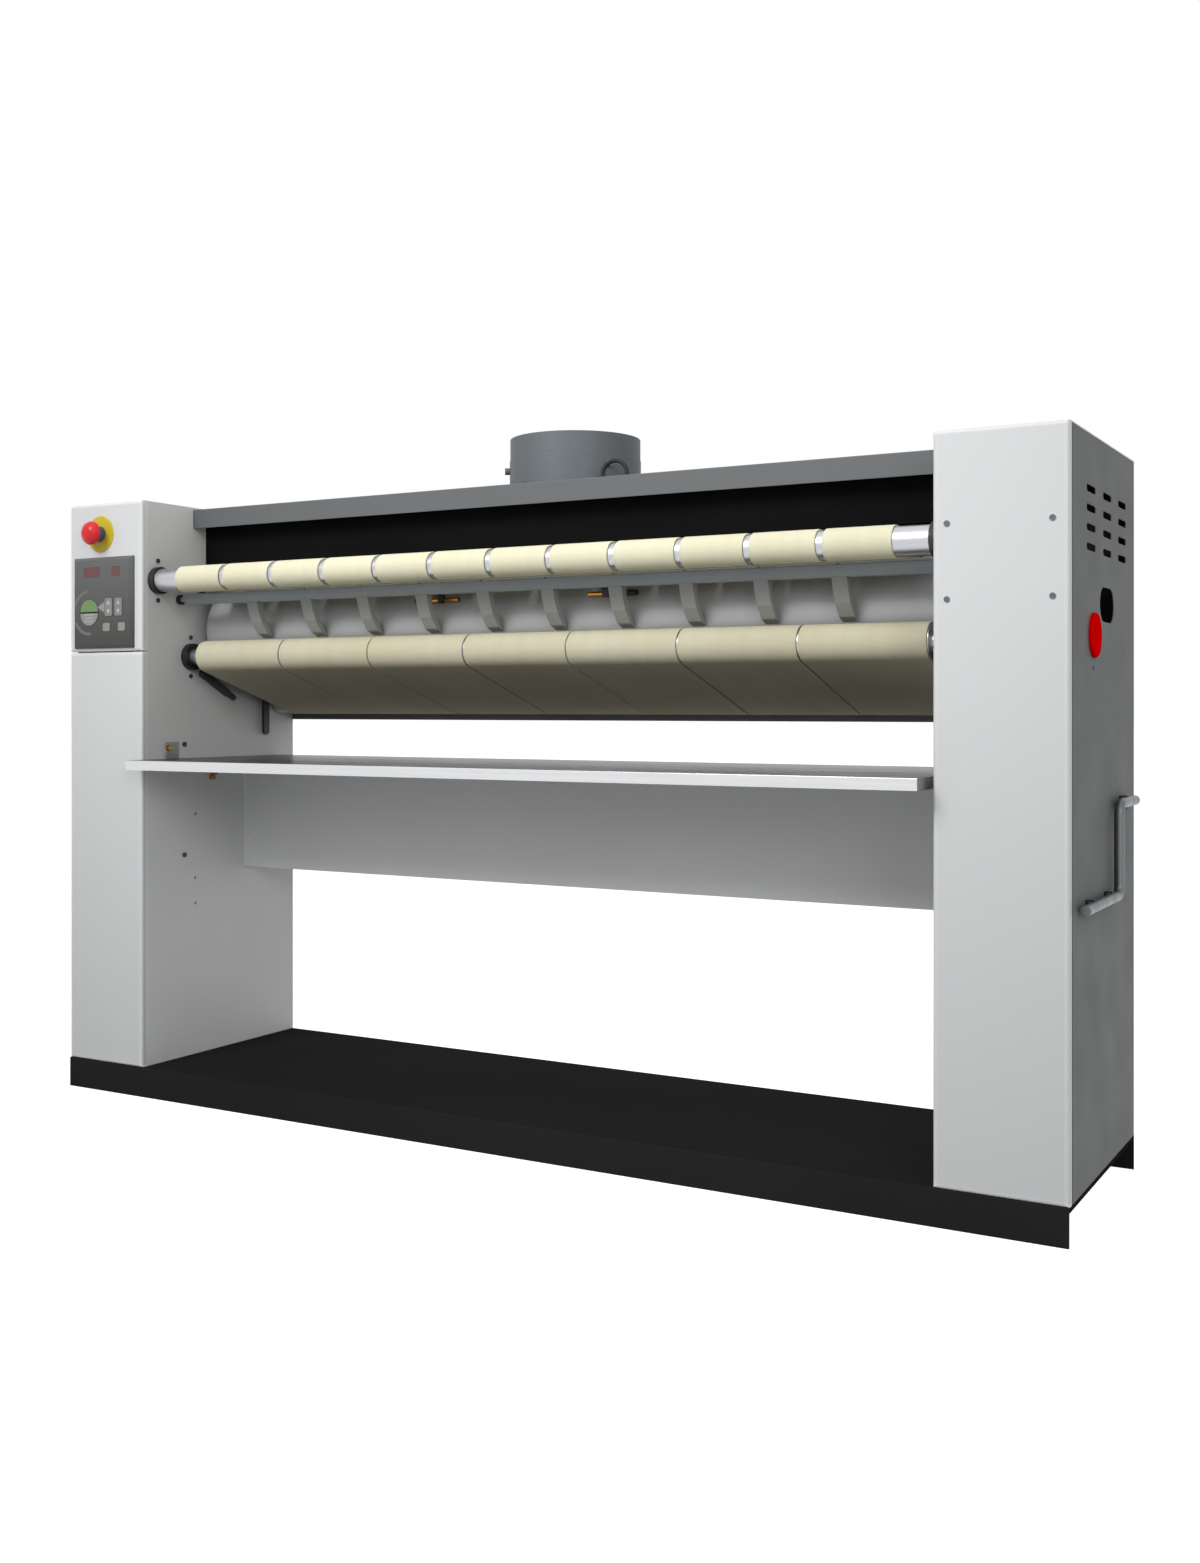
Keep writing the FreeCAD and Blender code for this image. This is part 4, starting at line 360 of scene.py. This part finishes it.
grained = {
    "blackPlastic": {"tone": (24, 24, 26), "edgeTone": (60, 60, 64), "vary": 0.1,
                     "edge": 0.0008, "wearAndHighlight": 0.5, "grain": 700, "grainDepth": 0.25, "rough": 0.5},
    "blackRubber": {"tone": (26, 26, 27), "edgeTone": (52, 52, 54), "vary": 0.12,
                    "edge": 0.0008, "wearAndHighlight": 0.4, "grain": 500, "grainDepth": 0.35, "rough": 0.72},
    "leverBlack": {"tone": (14, 14, 15), "edgeTone": (52, 52, 55), "vary": 0.1,
                   "edge": 0.001, "wearAndHighlight": 0.5, "grain": 420, "grainDepth": 0.25, "rough": 0.5},
    "darkBracket": {"tone": (58, 59, 64), "edgeTone": (104, 106, 112), "vary": 0.12,
                    "edge": 0.0008, "wearAndHighlight": 0.5, "grain": 420, "grainDepth": 0.25, "rough": 0.5},
    "fingerCasting": {"tone": (160, 161, 160), "edgeTone": (188, 189, 190), "vary": 0.06,
                      "edge": 0.0012, "wearAndHighlight": 0.5, "grain": 380, "grainDepth": 0.4,
                      "rough": 0.52},
    "ironCasting": {"tone": (78, 80, 84), "edgeTone": (130, 132, 136), "vary": 0.12,
                    "edge": 0.0012, "wearAndHighlight": 0.5, "grain": 300, "grainDepth": 0.6, "rough": 0.6},
    # bezelPlastic: the dark edge tone is painted shade on its edges, and the fade is painted shade
    # lower down
    "bezelPlastic": {"tone": (104, 106, 105), "edgeTone": (60, 60, 59), "vary": 0.03,
                     "edge": 0.0012, "wearAndHighlight": 0.7, "grain": 900, "grainDepth": 0.2, "rough": 0.5,
                     "shine": 0.3, "shadeDown": {"from": 1.06, "to": 0.9, "tone": (70, 70, 68)}},
    "keyGrey": {"tone": (148, 149, 146), "edgeTone": (196, 197, 194), "vary": 0.03,
                "edge": 0.0008, "wearAndHighlight": 0.4, "grain": 900, "grainDepth": 0.15, "rough": 0.48},
    "keySilver": {"tone": (136, 137, 135), "edgeTone": (186, 187, 185), "vary": 0.03,
                  "edge": 0.0008, "wearAndHighlight": 0.4, "grain": 900, "grainDepth": 0.15, "rough": 0.48},
    "keyGreen": {"tone": (112, 146, 92), "edgeTone": (140, 172, 118), "vary": 0.04,
                 "edge": 0.0008, "wearAndHighlight": 0.4, "grain": 900, "grainDepth": 0.15, "rough": 0.45},
    "displayRed": {"tone": (80, 46, 46), "edgeTone": (74, 44, 44), "vary": 0.08,
                   "edge": 0.0006, "wearAndHighlight": 0.4, "grain": 1400, "grainDepth": 0.05,
                   "rough": 0.22, "coat": 0.5},
    "digitRed": {"tone": (146, 66, 64), "edgeTone": (146, 66, 64), "vary": 0.05,
                 "edge": 0.0002, "wearAndHighlight": 0.2, "grain": 1400, "grainDepth": 0.05, "rough": 0.3},
    "panelPrint": {"tone": (112, 113, 112), "edgeTone": (112, 113, 112), "vary": 0.05,
                   "edge": 0.0002, "wearAndHighlight": 0.2, "grain": 1200, "grainDepth": 0.1, "rough": 0.6},
    "wedgePrint": {"tone": (148, 150, 150), "edgeTone": (148, 150, 150), "vary": 0.04,
                   "edge": 0.0002, "wearAndHighlight": 0.2, "grain": 1200, "grainDepth": 0.1, "rough": 0.6},
    "keyMark": {"tone": (196, 197, 194), "edgeTone": (196, 197, 194), "vary": 0.03,
                "edge": 0.0002, "wearAndHighlight": 0.2, "grain": 1200, "grainDepth": 0.1, "rough": 0.6},
    "stopYellow": {"tone": (212, 192, 40), "edgeTone": (228, 212, 96), "vary": 0.03,
                   "edge": 0.0008, "wearAndHighlight": 0.4, "grain": 900, "grainDepth": 0.1, "rough": 0.4},
    "stopBlue": {"tone": (72, 80, 116), "edgeTone": (106, 114, 150), "vary": 0.05,
                 "edge": 0.0008, "wearAndHighlight": 0.4, "grain": 900, "grainDepth": 0.12, "rough": 0.42},
    "stopRed": {"tone": (226, 36, 42), "edgeTone": (232, 84, 84), "vary": 0.04,
                "edge": 0.0015, "wearAndHighlight": 0.4, "grain": 900, "grainDepth": 0.08, "rough": 0.36,
                "shine": 0.3, "coat": 0.1},
    "plugRed": {"tone": (250, 0, 0), "edgeTone": (232, 40, 36), "vary": 0.03,
                "edge": 0.001, "wearAndHighlight": 0.4, "grain": 800, "grainDepth": 0.1, "rough": 0.7,
                "shine": 0.0},
}
cloth = {
    "feedCloth": {"tone": (252, 248, 218), "aged": (238, 231, 194), "vary": 0.05,
                  "blotch": 0.35, "yarn": 0.0014, "pitDepth": 0.35, "weaveDepth": 0.5,
                  "rough": 0.9, "shine": 0.05},
    "pressCloth": {"tone": (228, 223, 196), "aged": (216, 208, 176), "vary": 0.07,
                   "blotch": 0.6, "yarn": 0.0018, "pitDepth": 0.4, "weaveDepth": 0.6,
                   "rough": 0.92, "shine": 0.03},
}
finishes = {}
for maker, group in ((powderPaint, paint), (turnedMetal, metal), (castGrain, grained),
                     (wovenCloth, cloth)):
    for finishName, finishLook in group.items():
        finishes[finishName] = maker(finishName, finishLook)
print("finishes made:", len(finishes))

# which nodes wear each finish
wears = {
    "lightPaint": ("front_cover_left", "control_fascia", "front_cover_right", "column_caps"),
    "wallPaint": ("frame_left", "frame_right"),
    "sidePaint": ("side_panel_left", "side_panel_right", "column_rear_covers"),
    "crossPaint": ("cross_panel",),
    "hoodPaint": ("hood_cover", "rear_cover"),
    "plinthPaint": ("base_pan",),
    "apronPaint": ("hood_apron",),
    "barPaint": ("finger_bar",),
    "rollerSteel": ("feed_roller", "transfer_roller", "exit_roller", "lower_roller",
                    "upper_roller", "nip_roller"),
    "drumSteel": ("drum_shell", "drum_hubs"),
    "traySteel": ("shelf_tray",),
    "zincSteel": ("exhaust_collar", "fan_mount", "fan_rotor"),
    "crankSteel": ("hand_crank", "heating_elements"),
    "boltSteel": ("screws",),
    "brass": ("thermostat_bulbs", "shelf_pins"),
    "blackPlastic": ("flange_bearings", "inner_bearings", "thermostat_clips", "crank_clips"),
    "blackRubber": ("fan_cable", "drive_belt"),
    "leverBlack": ("tension_lever",),
    "darkBracket": ("belt_take_ups", "wall_screws"),
    "fingerCasting": ("stripper_fingers",),
    "ironCasting": ("drum_pulley", "motor_pulley", "gearmotor"),
    "bezelPlastic": ("control_bezel",),
    "keyGrey": ("stop_key", "low_key_left", "low_key_right"),
    "keySilver": ("tall_key_left", "tall_key_right"),
    "keyGreen": ("start_key",),
    "displayRed": ("control_display",),
    "stopYellow": ("stop_plate",),
    "stopBlue": ("stop_neck", "stop_stem"),
    "stopRed": ("stop_head",),
    "plugRed": ("side_plug",),
}
for finishName, members in wears.items():
    for member in members:
        slots = nodes[member].data.materials
        slots.clear()
        slots.append(finishes[finishName])
print("nodes dressed")


def addPiece(name, mesh, finish, body):
    mesh.materials.append(finishes[finish])
    mesh.update()
    piece = bpy.data.objects.new(name, mesh)
    bpy.context.scene.collection.objects.link(piece)
    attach(piece, body)
    return piece


def ringMesh(name, grid, clothMap):
    # quads between neighbours of a grid that closes on itself both ways, with outward faces,
    # smooth shading and the cloth's own map
    rows, columns = grid.shape[:2]
    i, j = np.arange(rows)[:, None], np.arange(columns)[None, :]
    nextI, nextJ = (i + 1) % rows, (j + 1) % columns
    quad = [i * columns + nextJ, nextI * columns + nextJ, nextI * columns + j, i * columns + j]
    faces = np.stack([corner.ravel() for corner in quad], 1)
    mesh = bpy.data.meshes.new(name)
    mesh.from_pydata(grid.reshape(-1, 3).tolist(), [], faces.tolist())
    mesh.polygons.foreach_set("use_smooth", np.ones(len(faces), bool))
    layer = mesh.uv_layers.new(name="cloth")
    corners = np.zeros(len(mesh.loops), np.int32)
    mesh.loops.foreach_get("vertex_index", corners)
    layer.data.foreach_set("uv", clothMap.reshape(-1, 2)[corners].ravel())
    return mesh


def bandLine(stations, steps):
    # closed line round circles (y, z, radius, turn): outer tangents joined by arcs;
    # turn is 1 for a circle inside the loop and -1 for one that presses from outside
    centre = np.array([s[:2] for s in stations])
    radius = np.array([s[2] for s in stations])
    turn = np.array([s[3] for s in stations])
    ahead = np.roll(centre, -1, 0) - centre
    gap = np.linalg.norm(ahead, axis=1)
    along = ahead / gap[:, None]
    share = (np.roll(turn * radius, -1) - turn * radius) / gap
    left = np.stack([-along[:, 1], along[:, 0]], 1)
    normal = along * share[:, None] + left * np.sqrt(1 - share ** 2)[:, None]
    leave = centre - normal * (turn * radius)[:, None]
    reach = np.roll(centre, -1, 0) - normal * np.roll(turn * radius, -1)[:, None]
    points, sides = [], []
    for i in range(len(stations)):
        start, end = reach[i - 1] - centre[i], leave[i] - centre[i]
        first, last = (math.atan2(p[1], p[0]) for p in (start, end))
        sweep = (turn[i] * (last - first)) % (2 * math.pi)
        angle = first + turn[i] * sweep * np.linspace(0, 1, steps)
        ray = np.stack([np.cos(angle), np.sin(angle)], 1)
        points.append(centre[i] + ray * radius[i])
        sides.append(ray * turn[i])
        straight = np.linspace(0, 1, steps + 2)[1:-1, None]
        points.append(leave[i] + (reach[i] - leave[i]) * straight)
        sides.append(np.repeat(-normal[i][None], steps, 0))
    return np.concatenate(points), np.concatenate(sides)


def endlessBelt(name, line, sides, belt, x, phase):
    # a flat section with round edges, carried along the loop: the point at distance s along it
    # and angle v round the section is line(s) + side(s) * lift(v) + X * across(v), with a slow
    # side drift and a seam that swells a little where it crosses on a slant
    step = np.linalg.norm(np.roll(line, -1, 0) - line, axis=1)
    distance = np.concatenate([[0], np.cumsum(step)[:-1]])
    length = step.sum()
    half, edge = belt["wide"] / 2, belt["thick"] / 2
    flat = np.linspace(-1, 1, belt["across"]) * (half - edge)
    bend = np.linspace(-math.pi / 2, math.pi / 2, belt["edgeSteps"])[1:-1]
    across = np.concatenate([flat, half - edge + edge * np.cos(bend), flat[::-1],
                             -(half - edge) - edge * np.cos(bend)])
    lift = np.concatenate([np.full(len(flat), -edge), edge * np.sin(bend),
                           np.full(len(flat), edge), -edge * np.sin(bend)])
    turn = 2 * math.pi * distance / length + phase
    drift = belt["drift"] * np.sin(turn)
    seam = distance[:, None] - belt["seamAt"] * length - across * belt["seamSlant"]
    swell = belt["seamSwell"] * np.exp(-(seam / belt["seamWide"]) ** 4)
    high = belt["lift"] + edge + lift[None] + (lift > 0) * swell
    grid = np.zeros((len(line), len(across), 3))
    grid[..., 0] = x + across[None] + drift[:, None]
    grid[..., 1:] = line[:, None] + sides[:, None] * high[..., None]
    clothMap = np.zeros(grid.shape[:2] + (2,))
    clothMap[..., 0] = distance[:, None]
    clothMap[..., 1] = across[None] + (lift[None] > 0) * belt["wide"]
    mesh = ringMesh(name, grid, clothMap)
    piece = addPiece(name, mesh, belt["finish"], "machine")
    return piece


# belts, in metres; each row fills its CAD node's width, gap is the opening between belts, and
# phaseStep turns each belt's side drift on from its neighbour's, in radians
feedBelt = {"name": "feed_belt", "node": "feed_belts", "finish": "feedCloth",
            "slot": "belt_cloth", "count": 12, "gap": 0.0108, "thick": 0.0024, "lift": -0.0002,
            "across": 15, "edgeSteps": 7, "arcSteps": 24, "drift": 0.0006, "phaseStep": 2.4,
            "seamAt": 0.62, "seamSlant": 0.35, "seamWide": 0.009, "seamSwell": 0.0002}
pressBelt = {"name": "press_belt", "node": "press_belts", "finish": "pressCloth",
             "slot": "press_cloth", "count": 7, "gap": 0.0027, "thick": 0.0024,
             "lift": -0.0002, "across": 21, "edgeSteps": 7, "arcSteps": 28, "drift": 0.0004,
             "phaseStep": 2.4, "seamAt": 0.9, "seamSlant": 0.5, "seamWide": 0.011,
             "seamSwell": 0.0002}


def beltRow(stations, belt):
    line, sides = bandLine(stations, belt["arcSteps"])
    low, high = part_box(belt["node"])
    pitch = (high.x - low.x + belt["gap"]) / belt["count"]
    belt = {**belt, "wide": pitch - belt["gap"]}
    for i in range(belt["count"]):
        x = (i - (belt["count"] - 1) / 2) * pitch
        name = f"{belt['name']}_{i + 1:02d}"
        endlessBelt(name, line, sides, belt, x, i * belt["phaseStep"])
    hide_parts(belt["node"])


# radii and running clearances, in metres; the places come from the CAD nodes
rollers = {"clear": 0.0005, "drumClear": 0.0025, "drumRadius": 0.09, "feed_roller": 0.023,
           "transfer_roller": 0.016, "exit_roller": 0.029, "lower_roller": 0.026,
           "upper_roller": 0.026, "nip_roller": 0.018}


def station(node, radius, turn=1):
    low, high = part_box(node)
    return ((low.y + high.y) / 2, (low.z + high.z) / 2, radius, turn)


def rollerStations(*names):
    return [station(node, rollers[node] + rollers["clear"]) for node in names]


feedStations = rollerStations("feed_roller", "transfer_roller")
pressStations = rollerStations("exit_roller", "lower_roller", "upper_roller", "nip_roller")
pressStations.append(station("drum_shell", rollers["drumRadius"] + rollers["drumClear"], -1))
beltRow(feedStations, feedBelt)
beltRow(pressStations, pressBelt)

# operating panel, in metres and degrees: printed arcs round the round keys, a wedge before the
# tall keys, marks on the keys, and seven-bar digits in the two windows
panel = {"proud": 0.0002, "sunk": 0.0002, "arcRadius": 0.043, "arcWide": 0.006, "arcSteps": 25,
         "arcs": ((98, 158), (206, 276)), "wedgeLong": 0.02, "wedgeTall": 0.022,
         "wedgeGap": 0.002, "markWide": 0.009, "markTall": 0.009, "markInset": 0.004,
         "barCount": 3, "barTall": 0.0016, "barWide": 0.024, "barPitch": 0.0062,
         "digitTall": 0.0135, "digitWide": 0.0075, "digitPitch": 0.0125, "digitLine": 0.0016,
         "levelShort": 1.4, "uprightShort": 0.4,  # cut from a digit's bars, in line widths
         "wideWindow": 0.046, "smallWindow": 0.022, "wideShows": "165", "smallShows": "6"}
# lit bars of each digit: a, g and d lie from top to bottom, b and c stand right, f and e left
bars = {"1": "bc", "2": "abged", "3": "abgcd", "4": "fgbc", "5": "afgcd", "6": "afgedc",
        "7": "abc", "8": "abcdefg", "9": "abcdfg", "0": "abcdef"}


def plates(name, outlines, node, finish, body="machine"):
    # thin closed plates on a node's front: each anticlockwise outline (x, z) is a front ring and
    # a back ring, with a face over both and quads between them
    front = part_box(node)[0].y
    points, faces, first = [], [], 0
    for outline in outlines:
        count = len(outline)
        for y in (front - panel["proud"], front + panel["sunk"]):
            points.append(np.insert(np.array(outline), 1, y, axis=1))
        ring = first + np.arange(count)
        after = np.roll(ring, -1)
        faces += [ring.tolist(), (ring + count)[::-1].tolist()]
        faces += np.stack([after, ring, ring + count, after + count], 1).tolist()
        first += 2 * count
    mesh = bpy.data.meshes.new(name)
    mesh.from_pydata(np.concatenate(points).tolist(), [], faces)
    addPiece(name, mesh, finish, body)


def rectangle(x, z, wide, tall):
    return [(x - wide / 2, z - tall / 2), (x + wide / 2, z - tall / 2),
            (x + wide / 2, z + tall / 2), (x - wide / 2, z + tall / 2)]


def arcBand(x, z, radius, wide, start, end):
    # outer edge forward and inner edge back, so that the outline runs anticlockwise
    angle = np.radians(np.linspace(start, end, panel["arcSteps"]))
    angle = np.concatenate([angle, angle[::-1]])
    reach = radius + wide / 2 * np.repeat([1, -1], panel["arcSteps"])
    return np.stack([x + reach * np.cos(angle), z + reach * np.sin(angle)], 1)


def digitBars(text, x, z):
    wide, tall, line = (panel[key] for key in ("digitWide", "digitTall", "digitLine"))
    levelLong = wide - panel["levelShort"] * line
    uprightLong = tall / 2 - panel["uprightShort"] * line
    level = {"a": tall / 2, "g": 0, "d": -tall / 2}
    upright = {"b": (1, 1), "c": (1, -1), "f": (-1, 1), "e": (-1, -1)}
    outlines = []
    for place, figure in enumerate(text):
        middle = x + (place - (len(text) - 1) / 2) * panel["digitPitch"]
        for bar in bars[figure]:
            if bar in level:
                outlines.append(rectangle(middle, z + level[bar], levelLong, line))
            else:
                side, up = upright[bar]
                outlines.append(rectangle(middle + side * wide / 2, z + up * tall / 4, line,
                                          uprightLong))
    return outlines


def middleOf(node):
    low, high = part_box(node)
    return (low.x + high.x) / 2, (low.z + high.z) / 2


roundX = middleOf("start_key")[0]
roundZ = (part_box("start_key")[0].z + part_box("stop_key")[1].z) / 2
arcs = [arcBand(roundX, roundZ, panel["arcRadius"], panel["arcWide"], *arc)
        for arc in panel["arcs"]]
plates("panel_arcs", arcs, "control_bezel", "panelPrint")
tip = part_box("tall_key_left")[0].x - panel["wedgeGap"]
keyZ = middleOf("tall_key_left")[1]
wedge = [(tip - panel["wedgeLong"], keyZ), (tip, keyZ - panel["wedgeTall"] / 2),
         (tip, keyZ + panel["wedgeTall"] / 2)]
plates("panel_wedge", [wedge], "control_bezel", "wedgePrint")
for node in ("tall_key_left", "tall_key_right"):
    # a triangle that points up near the key's top, and one that points down near its foot
    x, z = middleOf(node)
    wide, tall = panel["markWide"] / 2, panel["markTall"]
    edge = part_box(node)[1].z - z - panel["markInset"]
    up = [(x - wide, z + edge - tall), (x + wide, z + edge - tall), (x, z + edge)]
    down = [(x + wide, z - edge + tall), (x - wide, z - edge + tall), (x, z - edge)]
    plates(node + "_marks", [up, down], node, "keyMark", body_of(nodes[node])[0])
x = middleOf("stop_key")[0]
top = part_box("stop_key")[1].z - panel["barPitch"] / 2
keyBars = [rectangle(x, top - i * panel["barPitch"], panel["barWide"], panel["barTall"])
           for i in range(panel["barCount"])]
plates("stop_key_bars", keyBars, "stop_key", "keyMark",
       body_of(nodes["stop_key"])[0])
low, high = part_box("control_display")
windowZ = middleOf("control_display")[1]
digits = digitBars(panel["wideShows"], low.x + panel["wideWindow"] / 2, windowZ)
digits += digitBars(panel["smallShows"], high.x - panel["smallWindow"] / 2, windowZ)
plates("display_digits", digits, "control_display", "digitRed")
print("panel trim made")

# three lamps, a plain floor and a white background for what is seen directly; places and sizes
# in metres, power in watts, and spread in degrees
studio = {"skyLight": 0.44, "floorTone": (190, 190, 190), "floorGlow": 0.95, "floorHalf": 60.0,
          "key": {"place": (-0.8, -3.6, 3.6), "aim": (0, 0, 1.15), "size": 2.0, "power": 14,
                  "spread": 50},
          "fill": {"place": (4.6, -4.4, 3.0), "aim": (0, 0, 1.0), "size": 3.0, "power": 12,
                   "spread": 60},
          "top": {"place": (0.0, 0.2, 4.2), "aim": (0, 0, 0.7), "size": 3.5, "power": 10,
                  "spread": 180}}


def seenDirectly(tree):
    # 1 for what the camera, a reflection or a transmission sees, and 0 after a matte bounce,
    # which Diffuse Depth counts
    path = put(tree, "LightPath")
    seen = put(tree, "Math", {0: path.outputs["Is Camera Ray"], 1: path.outputs["Is Glossy Ray"]},
               operation="MAXIMUM").outputs[0]
    seen = put(tree, "Math", {0: seen, 1: path.outputs["Is Transmission Ray"]},
               operation="MAXIMUM").outputs[0]
    clear = put(tree, "Math", {0: path.outputs["Diffuse Depth"], 1: 0.5},
                operation="LESS_THAN").outputs[0]
    return put(tree, "Math", {0: seen, 1: clear}, operation="MULTIPLY").outputs[0]


def buildStudio(look):
    world = bpy.data.worlds.new("studio")
    bpy.context.scene.world = world
    world.use_nodes = True
    tree = world.node_tree
    sky = tree.nodes["Background"]
    sky.inputs["Color"].default_value = (1, 1, 1, 1)
    strength = put(tree, "MapRange", {"Value": seenDirectly(tree), "To Min": look["skyLight"],
                                      "To Max": 1.0}).outputs[0]
    tree.links.new(strength, sky.inputs["Strength"])

    half = look["floorHalf"]
    mesh = bpy.data.meshes.new("floor")
    mesh.from_pydata([(-half, -half, 0), (half, -half, 0), (half, half, 0), (-half, half, 0)],
                     [], [(0, 1, 2, 3)])
    material = bpy.data.materials.new("floor")
    material.use_nodes = True
    tree = material.node_tree
    tree.nodes.remove(tree.nodes["Principled BSDF"])
    matte = put(tree, "BsdfDiffuse", {"Color": tone(*look["floorTone"])}).outputs[0]
    glow = put(tree, "MapRange", {"Value": seenDirectly(tree), "To Min": 0.0,
                                  "To Max": look["floorGlow"]}).outputs[0]
    shine = put(tree, "Emission", {"Strength": glow}).outputs[0]
    both = put(tree, "AddShader", {0: matte, 1: shine}).outputs[0]
    tree.links.new(both, tree.nodes["Material Output"].inputs["Surface"])
    mesh.materials.append(material)
    floor = bpy.data.objects.new("floor", mesh)
    bpy.context.scene.collection.objects.link(floor)

    for name in ("key", "fill", "top"):
        lamp = bpy.data.lights.new(name, "AREA")
        lamp.size = look[name]["size"]
        lamp.energy = look[name]["power"]
        lamp.spread = math.radians(look[name]["spread"])
        stand = bpy.data.objects.new(name, lamp)
        stand.location = look[name]["place"]
        aim = Vector(look[name]["aim"]) - stand.location
        stand.rotation_euler = aim.to_track_quat("-Z", "Y").to_euler()
        bpy.context.scene.collection.objects.link(stand)


buildStudio(studio)
bpy.context.scene.view_settings.view_transform = "Standard"
print("studio lit")
